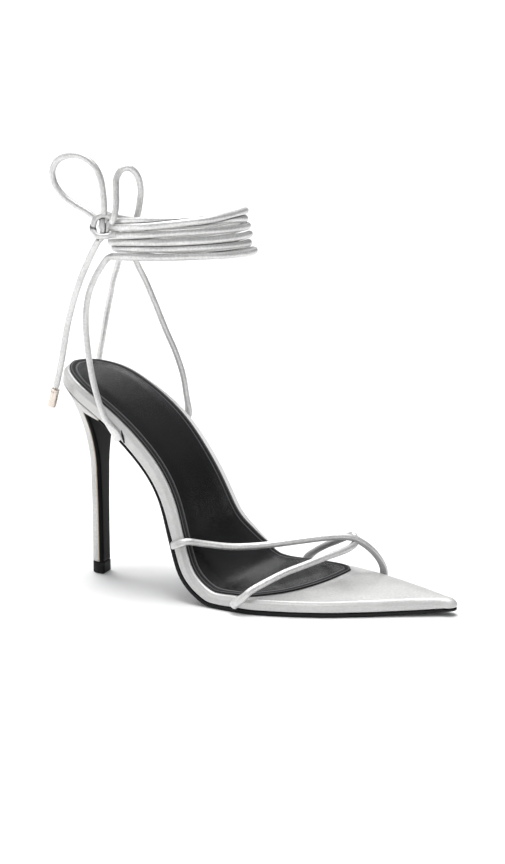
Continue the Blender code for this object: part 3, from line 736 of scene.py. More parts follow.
def layer(name, rows, top, bottom, columns, kept):
    """Closed layer through flat rows (arc, lateral, medial, height), closed by ladders of points.

    top and bottom give the height of a flat point inside the last and first row.
    """
    loops = [loop_of(*row[:3]) for row in rows]
    heights = [np.concatenate([row[3], row[3][-2::-1]]) for row in rows]
    count = len(loops[0][0])
    points = [bed_mm(a, s, h) for (a, s), h in zip(loops, heights)]
    flat = [np.stack([a, s], axis=1) for a, s in loops]
    faces = ring_faces(len(rows), count)
    shares = 0.5 - 0.5 * np.cos(np.linspace(0, np.pi, columns + 1))
    shares = (1 - EVEN_SHARE) * shares + EVEN_SHARE * np.linspace(0, 1, columns + 1)
    for row, height in ((0, bottom), (len(rows) - 1, top)):
        arc, lateral, medial, edge = rows[row]
        stations = len(arc)
        first = sum(len(p) for p in points)
        across = medial[:, None] + (lateral - medial)[:, None] * shares[None, 1:-1]
        along = np.repeat(arc[:, None], columns - 1, axis=1)
        inner = bed_mm(along, across, height(along, across, edge[:, None]))
        points.append(inner.reshape(-1, 3))
        flat.append(np.stack([along, across], axis=-1).reshape(-1, 2))
        ring = row * count
        index = np.zeros((stations, columns + 1), int)
        index[:, 0] = ring + np.arange(stations)
        index[:, -1] = ring + count - 1 - np.arange(stations)
        index[-1, -1] = ring + stations - 1
        index[:, 1:-1] = first + np.arange(stations * (columns - 1)).reshape(stations, columns - 1)
        for i in range(stations - 1):
            for k in range(columns):
                quad = (index[i, k], index[i + 1, k], index[i + 1, k + 1], index[i, k + 1])
                faces.append(list(dict.fromkeys(quad)))
    flat = np.vstack(flat)
    kept = {key: make(flat) for key, make in kept.items()}
    return piece_from(name, world(np.vstack(points)), [f for f in faces if len(f) > 2], kept)


print(f"a layer's ladders are {EVEN_SHARE:.0%} even and closer towards the edges")

# %% Cover the footbed
# place along the foot, thickness of the board
BOARD = ((0, 7.0), (53, 7.0), (145, 5.5), (196, 5.6), (236, 6.0), (252, 5.6), (264, 4.2))


def board_height(arc):
    return column(BOARD, 1, arc)


# inset from the outline and share of the board's height, then both at the toe's tip
RIM_WALL = (
    (1.70, 0.000, 1.70, 0.000), (1.10, 0.004, 1.10, 0.004), (0.60, 0.025, 0.60, 0.025),
    (0.25, 0.075, 0.25, 0.070), (0.12, 0.150, 0.08, 0.120), (0.10, 0.240, 0.02, 0.180),
    (0.10, 0.360, 0.00, 0.260), (0.08, 0.480, 0.00, 0.330), (0.04, 0.560, 0.00, 0.380),
    (0.00, 0.620, 0.00, 0.420), (0.02, 0.660, 0.06, 0.470), (0.10, 0.695, 0.16, 0.515),
    (0.26, 0.730, 0.32, 0.565), (0.46, 0.765, 0.52, 0.630), (0.68, 0.805, 0.76, 0.700),
    (0.90, 0.850, 1.06, 0.775), (1.10, 0.895, 1.40, 0.845), (1.32, 0.940, 1.80, 0.910),
    (1.56, 0.975, 2.26, 0.960), (1.85, 0.997, 2.75, 0.990), (2.15, 1.000, 3.20, 1.000),
    (2.50, 0.992, 3.55, 1.003),
)
TOE_CROWN = 0.35
CROWN_RISE = (2.4, 13.0)
CROWN_START = (186.0, 206.0)
RIM_WIDTH = 4.0
FOOTBED_COLUMNS = 26


def footbed_top(arc, across, edge):
    """The crown of the toe's top; under the insole the board is flat."""
    lateral, medial = rim_edges(arc)
    inside = np.minimum(across - lateral, medial - across)
    return edge + TOE_CROWN * soft_step(inside, *CROWN_RISE) * soft_step(arc, *CROWN_START)


footbed_rows = []
for inset, share, tip_inset, tip_height in RIM_WALL:
    arc, lateral, medial = drawn_in(inset, tip_inset)
    share = share + (tip_height - share) * column(TOE_TIP_SHAPE, 1, arc)
    footbed_rows.append((arc, lateral, medial, board_height(arc) * share))


def rim_share(flat):
    """How near a point is to the rim's edge: 1 on the edge, 0 further inside."""
    lateral, medial = rim_edges(flat[:, 0])
    return 1 - soft_step(np.minimum(flat[:, 1] - lateral, medial - flat[:, 1]), 0.0, RIM_WIDTH)


footbed = layer("footbed_cover", footbed_rows, footbed_top, level, FOOTBED_COLUMNS,
                {"rim": rim_share, "arc_mm": arc_of})
on_sandal(footbed, "footbed")

# %% [markdown]
# ## Outsole
#
# The sole is thin black leather, glued under the board from the toe to the heel. Only its edge shows in the
# picture, but the part is seen from below too, so its underside is a proper surface with a softened edge.

# %% Cut the outsole
SOLE_INSET = 0.4
SOLE_STATIONS = 190
SOLE_COLUMNS = 16
WING_REACH = 35.0
SOLE_BACK = WING_REACH + GAP
# place along the foot, thickness of the sole
SOLE = ((0, 1.3), (80, 1.3), (126, SOLE_FOREPART), (204, SOLE_FOREPART), (264, 1.6))
# inset from the outline, share of the sole's thickness counted down from its top
SOLE_EDGE = ((1.7, 1.0), (1.1, 0.995), (0.75, 0.97), (0.55, 0.90), (0.44, 0.78), (0.40, 0.55), (0.40, 0.25),
             (0.45, 0.06), (0.8, 0.0))

sole_rows = []
for inset, share in SOLE_EDGE:
    arc, lateral, medial = drawn_in(inset)
    start = SOLE_BACK + inset - SOLE_INSET
    ahead = np.concatenate([[start], arc[arc > start]])
    spread = np.interp(np.linspace(0, 1, SOLE_STATIONS), np.linspace(0, 1, len(ahead)), ahead)
    height = -GAP - (column(SOLE, 1, spread) - GAP) * share
    sole_rows.append((spread, np.interp(spread, arc, lateral), np.interp(spread, arc, medial), height))
outsole = layer("outsole_leather", sole_rows, level, level, SOLE_COLUMNS, {"arc_mm": arc_of})
on_sandal(outsole, "outsole")

# %% [markdown]
# ## Insole
#
# A thin black leather sock lies inside the rim, padded a little in the middle, with a rounded tongue short
# of the toe. Near its edge run two pressed lines, with a row of stitches in a groove between them. The
# sock's own edge is the drawing, and each point keeps its distance from that edge, so that the finish can
# press the lines at any fineness.

# %% Draw the insole's edge
# place along the foot, inset on the little toe's side, inset on the big toe's side
INSOLE_INSET = (
    (0, 1.9, 4.2), (30, 1.9, 4.4), (53, 1.9, 5.2), (79, 1.9, 5.8), (111, 1.9, 5.6), (132, 2.0, 4.6),
    (162, 3.4, 3.2), (264, 3.4, 3.2),
)
INSOLE_BACK = 1.9
INSOLE_TIP = 198.5
TONGUE_START = 190.0
TURN_POINTS = 26
EDGE_POINTS = 150
SOFTENINGS = 14
# place along the foot, edge on the little toe's side, edge on the big toe's side
INSOLE_FRONT = (
    (167, -30.8, 37.6), (176, -23.6, 37.6), (185, -12.0, 36.8), (191, 1.0, 35.5), (195.5, 14.0, 33.0),
    (198.5, 27.4, 27.4),
)


def insole_edges(arc):
    """Edges of the insole: inside the rim, then its slanting front."""
    arc = np.asarray(arc, float)
    into = np.maximum(0, 1 - (arc - INSOLE_BACK) / (BACK_ROUND - INSOLE_BACK))
    back = np.sqrt(np.maximum(0, 1 - into ** 2))
    half = column(PLAN, 2, arc)
    middle = column(PLAN, 1, arc)
    front = arc > INSOLE_FRONT[0][0]
    near = middle - (half - column(INSOLE_INSET, 1, arc)) * back
    far = middle + (half - column(INSOLE_INSET, 2, arc)) * back
    lateral = np.where(front, column(INSOLE_FRONT, 1, arc), near)
    medial = np.where(front, column(INSOLE_FRONT, 2, arc), far)
    return lateral, medial


turn = np.linspace(0, np.pi / 2, TURN_POINTS)
insole_arc = np.concatenate([
    INSOLE_BACK + (BACK_ROUND - INSOLE_BACK) * (1 - np.cos(turn)),
    np.linspace(BACK_ROUND, TONGUE_START, EDGE_POINTS)[1:],
    TONGUE_START + (INSOLE_TIP - TONGUE_START) * np.sin(turn)[1:],
])
insole_loop = np.stack(loop_of(insole_arc, *insole_edges(insole_arc)), axis=1)
for _ in range(SOFTENINGS):
    softened = (np.roll(insole_loop, 1, axis=0) + 2 * insole_loop + np.roll(insole_loop, -1, axis=0)) / 4
    softened[[0, -1]] = insole_loop[[0, -1]]
    insole_loop = softened
print(f"insole: {run_along(insole_loop)[-1]:.0f} mm of edge")

# %% Press the insole's folds
STITCH_INSET = 2.6
GROOVE_DEPTH = 0.16
GROOVE_HALF = 0.55
PADDING = 0.7
PADDING_EDGE = (2.2, 11.0)
BLOCK = 2000
# crease centre along and across the foot, half length, degrees from across, half width, depth
CREASES = (
    (186.0, 20.0, 10.0, -28.0, 1.6, 0.22), (190.5, 23.0, 8.0, -34.0, 1.3, 0.20),
    (180.0, 9.0, 13.0, -38.0, 2.2, 0.16), (171.0, -8.0, 14.0, -40.0, 2.6, 0.14),
    (163.0, 8.0, 22.0, -6.0, 3.4, 0.14), (150.0, 4.0, 20.0, 4.0, 4.0, 0.18),
)


def crease_depth(arc, across):
    """Depth of the soft folds pressed by the foot."""
    depth = np.zeros(np.broadcast(arc, across).shape)
    for centre, aside, length, degrees, width, deep in CREASES:
        turn = math.radians(degrees)
        run = (across - aside) * math.cos(turn) + (arc - centre) * math.sin(turn)
        off = (arc - centre) * math.cos(turn) - (across - aside) * math.sin(turn)
        depth = depth + deep * np.exp(-(off / width) ** 2 - (run / length) ** 4)
    return depth


def edge_distance(flat):
    """Distance of flat points from the insole's edge."""
    nearest = np.full(len(flat), 1e9)
    for start in range(0, len(flat), BLOCK):
        part = flat[start:start + BLOCK]
        gaps = np.linalg.norm(part[:, None, :] - insole_loop[None, :, :], axis=2)
        nearest[start:start + BLOCK] = gaps.min(axis=1)
    return nearest


def insole_top(arc, across, edge):
    """Height of the insole: padded inside its border, with the stitches' groove and the folds."""
    distance = edge_distance(np.stack([arc.ravel(), across.ravel()], axis=1)).reshape(arc.shape)
    groove = GROOVE_DEPTH * np.exp(-((distance - STITCH_INSET) / GROOVE_HALF) ** 2)
    return edge + PADDING * soft_step(distance, *PADDING_EDGE) - groove - crease_depth(arc, across)


print(len(CREASES), "soft folds")

# %% Cut the insole
INSOLE_COLUMNS = 56
# inset, height over the board
INSOLE_EDGE = ((0.35, 0.00), (0.08, 0.05), (0.0, 0.17), (0.0, 0.38), (0.05, 0.50), (0.16, 0.59), (0.34, 0.64),
               (0.62, 0.66))


def moved_in(loop, distance):
    """The flat loop moved inwards along its own normal."""
    along = unit(np.roll(loop, -1, axis=0) - np.roll(loop, 1, axis=0))
    along[0] = along[-1] = (0.0, 1.0)
    return loop + np.stack([along[:, 1], -along[:, 0]], axis=1) * distance


insole_rows = []
stations = len(insole_arc)
for inset, height in INSOLE_EDGE:
    loop = moved_in(insole_loop, inset)
    arc = loop[:stations, 0]
    medial = loop[:stations, 1]
    lateral = np.concatenate([loop[stations:, 1][::-1], loop[stations - 1:stations, 1]])
    insole_rows.append((arc, lateral, medial, board_height(arc) + GAP + height))
insole = layer("insole_sock", insole_rows, insole_top, level, INSOLE_COLUMNS, {"edge_mm": edge_distance})
on_sandal(insole, "insole")

# %% [markdown]
# ## Heel
#
# A stiletto heel is a slim D-shaped post that widens into the seat and runs forward under the shank in two
# thin wings. The back and sides are covered in silver leather, the flat front in black, and a hard rubber
# tip takes the wear. The section is the same D at every level, so one function gives the line of places up
# the heel for one turn round the D, and a loop over the turns makes the surface. Near the seat the widening
# grows with the square of the height, which gives the flare.

# %% Shape the heel
SEAT_DEPTH = 19.5
BREAST_THICKNESS = 2.2
BREAST_FRONT = 21.0
# height, back, half width
SHAFT = ((6.8, 13.2, 4.3), (20, 13.3, 4.3), (38, 13.3, 4.5), (55, 13.2, 5.3))
SHAFT_ROWS = 26
FLARE_ROWS = 44
WING_ROWS = 12
WING_SHARE = 0.17
WING_END = 1.0
WING_COVER = 0.45
HEEL_INSET = 0.9
HEEL_JOINT = BREAST_FRONT - BREAST_THICKNESS - GAP


def under_bed(reach, turn, forward, drop):
    """A place below the footbed's edge, for a heel top that reaches so far from the back."""
    arc = reach - (reach - HEEL_INSET) * math.cos(math.radians(turn))
    edge = float(rim_edges(arc)[1 if turn > 0 else 0])
    across = edge - math.copysign(min(HEEL_INSET, abs(edge)), edge)
    return bed_mm(arc + forward, across, -GAP - drop)


def heel_points(turn, forward):
    """Places of the heel for a turn (degrees, -90 to 90): up the shaft, the neck and along the wings."""
    angle = math.radians(turn)
    swing = math.sin(angle) ** 2
    height = np.linspace(SHAFT[0][0], SHAFT[-1][0], SHAFT_ROWS)
    back = column(SHAFT, 1, height)
    half = column(SHAFT, 2, height)
    x = HEEL_JOINT - (HEEL_JOINT - back) * math.cos(angle) + forward
    shaft = np.stack([x, half * math.sin(angle), height], axis=1)
    top = under_bed(SEAT_DEPTH, turn, forward, 0.0)
    share = np.linspace(0, 1 - WING_SHARE * swing, FLARE_ROWS + 1)[1:, None]
    neck = shaft[-1] + (top - shaft[-1]) * np.concatenate([share ** 2, share ** 2, share], axis=1)
    end = under_bed(WING_REACH, turn, 0.0, WING_END * swing + WING_COVER * forward)
    wing = neck[-1] + (end - neck[-1]) * np.linspace(0, 1, WING_ROWS + 1)[1:, None]
    return np.concatenate([shaft, neck, wing])


print(f"heel: {SHAFT[0][2] * 2:.1f} mm wide at its foot")

# %% Cover the heel
HEEL_TURNS = np.linspace(-90, 90, 61)
HEEL_TIP_TURNS = np.linspace(-90, 90, 41)
QUARTERS = (0.25, 0.5, 0.75)
heel_sides = [[*heel_points(turn, 0.0), under_bed(WING_REACH, turn, 0.0, 0.0)] for turn in HEEL_TURNS]
heel_sides = np.array(heel_sides)
heel_front = np.array([heel_sides[-1] + (heel_sides[0] - heel_sides[-1]) * share for share in QUARTERS])
heel_rings = np.concatenate([heel_sides, heel_front]).transpose(1, 0, 2)
around_mm = np.cumsum(np.linalg.norm(np.diff(heel_sides, axis=0), axis=2), axis=0)
around_mm = np.vstack([0 * around_mm[:1], around_mm])
joint_mm = np.minimum(around_mm, around_mm[-1] - around_mm)
joint_mm = np.vstack([joint_mm, 0 * joint_mm[:len(QUARTERS)]]).T
heel = solid_of_rings("heel_cover", heel_rings, {"joint_mm": joint_mm})
on_sandal(heel, "heel")

# %% Cover the heel's front
# across the front (-1 to 1), share of the cover's thickness
BREAST_SECTION = (
    (-1.0, 0.0), (-1.0, 0.35), (-1.0, 0.66), (-0.985, 0.84), (-0.94, 0.95), (-0.86, 0.99), (-0.6, 1.0),
    (-0.3, 1.0), (0.0, 1.0), (0.3, 1.0), (0.6, 1.0), (0.86, 0.99), (0.94, 0.95), (0.985, 0.84), (1.0, 0.66),
    (1.0, 0.35), (1.0, 0.0), (0.5, 0.0), (0.0, 0.0), (-0.5, 0.0),
)
breast_columns = []
for across, share in BREAST_SECTION:
    lateral, medial = (heel_points(turn, GAP + BREAST_THICKNESS * share) for turn in (-90, 90))
    breast_columns.append(lateral + (medial - lateral) * (across + 1) / 2)
breast = solid_of_rings("heel_breast_cover", np.array(breast_columns).transpose(1, 0, 2))
on_sandal(breast, "heel_breast")

# %% Set the heel tip
# drawn in from the heel's foot, height
HEEL_TIP_WALL = (
    (1.2, 0.0), (0.55, 0.0), (0.25, 0.10), (0.08, 0.32), (0.0, 0.7), (0.0, 1.6), (0.0, 3.2), (0.0, 5.0),
    (0.0, 5.7), (0.10, 6.15), (0.35, 6.42), (1.2, 6.5),
)
half_cover, full_cover = GAP + BREAST_THICKNESS * 0.5, GAP + BREAST_THICKNESS
# turn round the heel's foot, distance forward
tip_corners = [(-90, full_cover), (-90, half_cover)]
tip_corners += [(turn, 0.0) for turn in HEEL_TIP_TURNS]
tip_corners += [(90, half_cover), (90, full_cover)]
tip_outline = np.array([heel_points(turn, forward)[0][:2] for turn, forward in tip_corners])
tip_front = [tip_outline[-1] + (tip_outline[0] - tip_outline[-1]) * share for share in QUARTERS]
tip_outline = np.vstack([tip_outline, tip_front])
tip_middle = tip_outline.mean(axis=0)
from_middle = tip_outline - tip_middle
reach = np.linalg.norm(from_middle, axis=1, keepdims=True)
tip_rings = []
for inset, height in HEEL_TIP_WALL:
    ring = tip_middle + from_middle * (1 - inset / reach)
    tip_rings.append(np.column_stack([ring, np.full(len(ring), height)]))
heel_tip = solid_of_rings("heel_tip_rubber", np.array(tip_rings))
on_sandal(heel_tip, "heel_tip")

# %% [markdown]
# ## Stitches
#
# A row of short black stitches runs inside the insole's edge. Each is a tiny capsule of thread, laid in the
# groove between the two pressed lines. A loop places them at even steps along the drawn edge, and all become
# one mesh.

# %% Sew the insole
STITCH_PITCH = 2.3
STITCH_LENGTH = 1.7
FIRST_STITCH, LAST_STITCH = 2.0, 3.0
THREAD_DIAMETER = 0.42
THREAD_SIDES = 8
THREAD_FACING = (0.3, 0.0, 1.0)
# share of the stitch's length, height over the groove
STITCH_ARCH = np.array((
    (0.0, -0.16), (0.06, -0.03), (0.2, 0.06), (0.5, 0.10), (0.8, 0.06), (0.94, -0.03), (1.0, -0.16)))
stitch_line = moved_in(insole_loop, STITCH_INSET)
stitch_cords = []
for start in np.arange(FIRST_STITCH, run_along(stitch_line)[-1] - LAST_STITCH, STITCH_PITCH):
    arc, across = at_marks(stitch_line, start + STITCH_LENGTH * STITCH_ARCH[:, 0]).T
    base = board_height(arc) + GAP + INSOLE_EDGE[-1][1]
    lift = insole_top(arc[:, None], across[:, None], base[:, None])[:, 0] + STITCH_ARCH[:, 1]
    facing = np.tile(THREAD_FACING, (len(arc), 1))
    route = bed_mm(arc, across, lift)
    stitch_cords.append(cord_rings(route, facing, THREAD_DIAMETER, THREAD_SIDES, cap=0.5))
stitches = cord_piece("insole_stitches", stitch_cords)
on_sandal(stitches)
print(len(stitch_cords), "stitches")

# %% [markdown]
# ## Finishes
#
# A finish is a small network of shader nodes. Wiring it by hand in code is hard to read, so a value from a
# node can be used in sums like a number, and each operator adds the node that works it out. All other nodes
# come from one method that takes the node's type, its settings and what goes into its sockets.

# %% A small language for finishes
class Value:
    """A shader node's output that stands in sums like a number."""

    def __init__(self, finish, socket):
        self.finish = finish
        self.socket = socket

    def math(self, operation, *numbers):
        return self.finish.node("ShaderNodeMath", {"operation": operation}, dict(enumerate(numbers)))

    def __add__(self, other):
        return self.math("ADD", self, other)

    __radd__ = __add__

    def __sub__(self, other):
        return self.math("SUBTRACT", self, other)

    def __rsub__(self, other):
        return self.math("SUBTRACT", other, self)

    def __mul__(self, other):
        return self.math("MULTIPLY", self, other)

    __rmul__ = __mul__

    def __abs__(self):
        return self.math("ABSOLUTE", self)

    def between(self, low, high):
        """0 at low and below, 1 at high and above, with an easy curve."""
        return self.finish.node("ShaderNodeMapRange", {"interpolation_type": "SMOOTHSTEP"},
                                {"Value": self, "From Min": low, "From Max": high})


class Finish:
    """A material whose nodes are added one by one; constants go straight to the shader's sockets."""

    def __init__(self, name, **constants):
        self.material = bpy.data.materials.new(name)
        self.material.use_nodes = True
        self.tree = self.material.node_tree
        self.shader = self.tree.nodes["Principled BSDF"]
        self.set(**constants)

    def node(self, kind, settings=None, sockets=None, output=0):
        made = self.tree.nodes.new(kind)
        for key, value in (settings or {}).items():
            setattr(made, key, value)
        for key, value in (sockets or {}).items():
            self.plug(made.inputs[key], value)
        return Value(self, made.outputs[output])

    def plug(self, socket, value):
        if isinstance(value, Value):
            self.tree.links.new(value.socket, socket)
        else:
            socket.default_value = value

    def set(self, **sockets):
        for key, value in sockets.items():
            self.plug(self.shader.inputs[key.replace("_", " ")], value)

    def kept(self, name):
        return self.node("ShaderNodeAttribute", {"attribute_name": name}, output=2)

    def noise(self, size_mm, detail=3.0, stretch=None):
        place = self.node("ShaderNodeTexCoord", output=3)
        if stretch:
            place = self.node("ShaderNodeMapping", {"vector_type": "POINT"},
                              {"Vector": place, "Scale": stretch})
        return self.node("ShaderNodeTexNoise", {},
                         {"Vector": place, "Scale": 1000 / size_mm, "Detail": detail})

    def cells(self, size_mm):
        place = self.node("ShaderNodeTexCoord", output=3)
        return self.node("ShaderNodeTexVoronoi", {"feature": "DISTANCE_TO_EDGE"},
                         {"Vector": place, "Scale": 1000 / size_mm})

    def mix(self, share, first, second):
        return self.node("ShaderNodeMix", {"data_type": "RGBA"}, {0: share, 6: first, 7: second}, output=2)

    def relief(self, height_mm):
        """Bump from a height in millimetres."""
        bump = self.node("ShaderNodeBump", {}, {"Strength": 1.0, "Distance": MM, "Height": height_mm})
        self.set(Normal=bump)


def wear(piece, finish):
    piece.data.materials.clear()
    piece.data.materials.append(finish.material)
    print(piece.name, "has", finish.material.name)


print("sums, differences and products of values now add shader nodes")

# %% [markdown]
# ## Silver leather
#
# The upper is smooth leather with a metal foil on it. Foil on leather is neither paint nor polished metal:
# it mirrors the room softly, in streaks broken by a fine grain. On the cords the metal share is high, and on
# the flat leather of rim and heel it is lower, since that is duller in the picture. The rim's wall and bevel
# carry a painted highlight, and along the shank the rim's top carries a nearly white painted highlight. The
# roughness is middling and uneven, and a cell pattern less than a millimetre across gives the grain. On cords
# the grain is finer, there are faint marks across from bending, the seam shows as a shallow line on the inner
# side, and painted shade darkens them where they touch each other.

# %% Mix the silver leathers
FLAT_TONES = ((0.46, 0.457, 0.45, 1.0), (0.61, 0.606, 0.598, 1.0))
CORD_TONES = ((0.55, 0.547, 0.54, 1.0), (0.76, 0.756, 0.748, 1.0))
FOIL = 0.68
FOIL_FLAT = 0.28
# nearly white painted highlight on the rim's top along the shank
PAINTED_RIM_HIGHLIGHT = (0.98, 0.975, 0.965, 1.0)
SHANK_STARTS = (30.0, 80.0)
SHANK_ENDS = (135.0, 165.0)
# colour of the painted shade where cords touch
PAINTED_SHADE_COLOUR = (0.05, 0.05, 0.055, 1.0)
RAW_EDGE = (0.46, 0.38, 0.28, 1.0)
ROUGH_BACK = (0.40, 0.40, 0.40, 1.0)
FLAT_GRAIN = 0.75
CORD_GRAIN = 0.5


def silver_leather(name, grain_mm, foil, tones):
    """Foil leather with uneven gloss and a fine grain; the colour and relief are given back for changes."""
    finish = Finish(name, Metallic=foil, Specular_IOR_Level=0.25)
    cloud = finish.noise(24.0, 2.0)
    fine = finish.noise(1.1, 4.0)
    grain = finish.cells(grain_mm).between(0.0, 0.22)
    tone = 0.45 * cloud.between(0.35, 0.68) + 0.55 * fine.between(0.32, 0.68)
    colour = finish.mix(tone, *tones)
    roughness = 0.32 + 0.12 * cloud + 0.12 * fine - 0.04 * grain
    height = 0.020 * grain + 0.030 * fine + 0.05 * finish.noise(6.0, 2.0)
    return finish, colour, roughness, height


rim_leather, colour, roughness, height = silver_leather(
    "silver leather on the rim", FLAT_GRAIN, FOIL_FLAT, FLAT_TONES)
rim = rim_leather.kept("rim")
arc = rim_leather.kept("arc_mm")
shank = arc.between(*SHANK_STARTS) * (1 - arc.between(*SHANK_ENDS))
# painted highlight: the rim's wall and bevel are mixed halfway to the bright tone
colour = rim_leather.mix(rim.between(0.55, 0.95) * 0.5, colour, FLAT_TONES[1])
# painted highlight on the rim's top along the shank, next to the insole
colour = rim_leather.mix((1 - rim.between(0.45, 0.85)) * shank, colour, PAINTED_RIM_HIGHLIGHT)
rim_leather.set(Base_Color=colour, Roughness=roughness - 0.06 * rim)
rim_leather.relief(height + 0.10 * rim * rim_leather.noise(3.2, 2.0))

heel_leather, colour, roughness, height = silver_leather(
    "silver leather on the heel", FLAT_GRAIN, FOIL_FLAT, FLAT_TONES)
raw = 1 - heel_leather.kept("joint_mm").between(0.25, 0.55)
heel_leather.set(Base_Color=heel_leather.mix(raw, colour, RAW_EDGE), Roughness=roughness + 0.25 * raw,
                 Metallic=FOIL_FLAT - FOIL_FLAT * raw)
heel_leather.relief(height)
wear(footbed, rim_leather)
wear(heel, heel_leather)


# %% Mix the cord leathers
def cord_leather(name, back_shows):
    """Silver leather cord: bending marks, a seam on the inner side, painted shade where cords touch, and the
    rough back where it shows.
    """
    finish, colour, roughness, height = silver_leather(name, CORD_GRAIN, FOIL, CORD_TONES)
    along = finish.kept("along_mm")
    outer = finish.kept("outer")
    side = finish.kept("side")
    marks = finish.node("ShaderNodeCombineXYZ", {}, {0: along * 0.9, 1: outer * 0.5, 2: side * 0.5})
    bends = finish.node("ShaderNodeTexNoise", {}, {"Vector": marks, "Scale": 1.0, "Detail": 3.0})
    seam = (1 - abs(side).between(0.03, 0.16)) * (1 - (outer + 0.6).between(-0.1, 0.1))
    height = height + 0.09 * bends - 0.16 * seam
    metal = FOIL - 0.3 * seam
    # painted shade: the cord is darkened where it touches other cords
    deep = finish.kept("crevice").between(0.25, 0.9)
    colour = finish.mix(seam * 0.7, colour, ROUGH_BACK)
    colour = finish.mix(deep * 0.9, colour, PAINTED_SHADE_COLOUR)
    if back_shows:
        inner = 1 - outer.between(-0.72, -0.5)
        colour = finish.mix(inner, colour, ROUGH_BACK)
        roughness = roughness + 0.35 * inner
        metal = metal - 0.5 * inner
        height = height + 0.12 * inner * finish.noise(0.5, 3.0)
    finish.set(Base_Color=colour, Roughness=roughness + 0.2 * seam, Metallic=metal)
    finish.relief(height)
    return finish


tie_leather = cord_leather("silver leather tie", False)
strap_leather = cord_leather("silver leather strap", True)
wear(straps, strap_leather)
for piece in (wrap, knot, *CORD_PIECES.values(), *RISERS):
    wear(piece, tie_leather)

# %% [markdown]
# ## Black leathers, rubber and metal
#
# The insole is soft black leather with a broad sheen; its pressed edge lines come from the distance that
# each point kept, and a painted highlight lightens them. The sole's edge is painted and glossier than its
# worn underside. Rubber is the dullest of the blacks. The tips are warm nickel with fine lines turned round
# them.

# %% Mix the black leathers
# light grey of the painted highlight on the two pressed lines
PAINTED_LINE_HIGHLIGHT = (0.12, 0.12, 0.125, 1.0)
BEAD_INSET = 0.9
RIB_INSET = 3.4
sock_leather = Finish("black lining leather", Specular_IOR_Level=0.30)
edge = sock_leather.kept("edge_mm")
sheen = sock_leather.noise(30.0, 2.0)
fine = sock_leather.noise(0.9, 4.0)
grain = sock_leather.cells(0.8).between(0.0, 0.25)
bead = 1 - abs(edge - BEAD_INSET).between(0.15, 0.40)
rib = 1 - abs(edge - RIB_INSET).between(0.22, 0.55)
stitch_groove = 1 - abs(edge - STITCH_INSET).between(0.15, 0.6)
border = 1 - edge.between(3.6, 4.1)
tone = sock_leather.mix(sheen.between(0.3, 0.7), (0.004, 0.004, 0.0045, 1.0), (0.008, 0.008, 0.0085, 1.0))
# the two pressed lines carry a painted highlight in their colour
sock_leather.set(
    Base_Color=sock_leather.mix(0.8 * bead + 0.8 * rib, tone, PAINTED_LINE_HIGHLIGHT),
    Roughness=0.14 + 0.08 * sheen + 0.06 * fine + 0.40 * border,
)
pressing = 0.12 * bead + 0.10 * rib - 0.14 * stitch_groove
sock_leather.relief(0.03 * grain + 0.04 * fine + pressing + 0.05 * sheen)
wear(insole, sock_leather)
# the slot's painted shade wears the insole's black leather
wear(slot_shade, sock_leather)

thread = Finish("black thread", Roughness=0.7)
twist = thread.node("ShaderNodeTexWave", {"wave_type": "BANDS", "bands_direction": "DIAGONAL"},
                    {"Vector": thread.node("ShaderNodeTexCoord", output=3), "Scale": 900.0})
thread.set(Base_Color=thread.mix(twist, (0.010, 0.010, 0.010, 1.0), (0.035, 0.035, 0.036, 1.0)))
thread.relief(0.05 * twist)
wear(stitches, thread)

sole_leather = Finish("black sole leather", Specular_IOR_Level=0.2)
arc = sole_leather.kept("arc_mm")
mottle = sole_leather.noise(9.0, 4.0)
fine = sole_leather.noise(0.7, 4.0)
scuff = sole_leather.noise(2.2, 4.0, (0.22, 1.0, 1.0)).between(0.52, 0.75) * arc.between(160, 178)
sole_leather.set(
    Base_Color=sole_leather.mix(mottle.between(0.3, 0.75) * 0.6 + 0.3 * scuff, (0.004, 0.004, 0.005, 1.0),
                                (0.014, 0.014, 0.014, 1.0)),
    Roughness=0.34 + 0.16 * mottle + 0.15 * scuff,
)
sole_leather.relief(0.03 * fine + 0.05 * mottle - 0.04 * scuff)
wear(outsole, sole_leather)

breast_leather = Finish("black heel front leather", Specular_IOR_Level=0.04)
mottle = breast_leather.noise(12.0, 3.0)
fine = breast_leather.noise(0.8, 4.0)
tone = breast_leather.mix(mottle.between(0.3, 0.7), (0.003, 0.003, 0.0035, 1.0), (0.006, 0.006, 0.0065, 1.0))
breast_leather.set(
    Base_Color=tone,
    Roughness=0.34 + 0.10 * mottle + 0.06 * fine,
)
breast_leather.relief(0.02 * fine + 0.04 * mottle)
wear(breast, breast_leather)

# %% Mix the rubber and the metal
rubber = Finish("black tip rubber", Specular_IOR_Level=0.15)
fine = rubber.noise(0.35, 4.0)
dust = rubber.noise(3.0, 3.0).between(0.5, 0.8)
low = rubber.node("ShaderNodeSeparateXYZ", {}, {0: rubber.node("ShaderNodeTexCoord", output=3)}, output=2)
worn = 1 - low.between(0.0, 0.0012)
rubber.set(
    Base_Color=rubber.mix(0.35 * dust + 0.5 * worn, (0.006, 0.006, 0.0065, 1.0), (0.05, 0.05, 0.05, 1.0)),
    Roughness=0.50 + 0.14 * fine + 0.15 * worn,
)
rubber.relief(0.04 * fine)
wear(heel_tip, rubber)

nickel = Finish("warm nickel", Metallic=1.0)
along = nickel.kept("along_mm")
lines = nickel.node("ShaderNodeTexNoise", {"noise_dimensions": "1D"},
                    {"W": along, "Scale": 9.0, "Detail": 3.0})
smudge = nickel.noise(2.5, 3.0)
nickel.set(
    Base_Color=nickel.mix(smudge, (0.60, 0.53, 0.47, 1.0), (0.72, 0.65, 0.59, 1.0)),
    Roughness=0.20 + 0.12 * smudge + 0.06 * lines,
)
nickel.relief(0.012 * lines)
for piece in AGLETS.values():
    wear(piece, nickel)

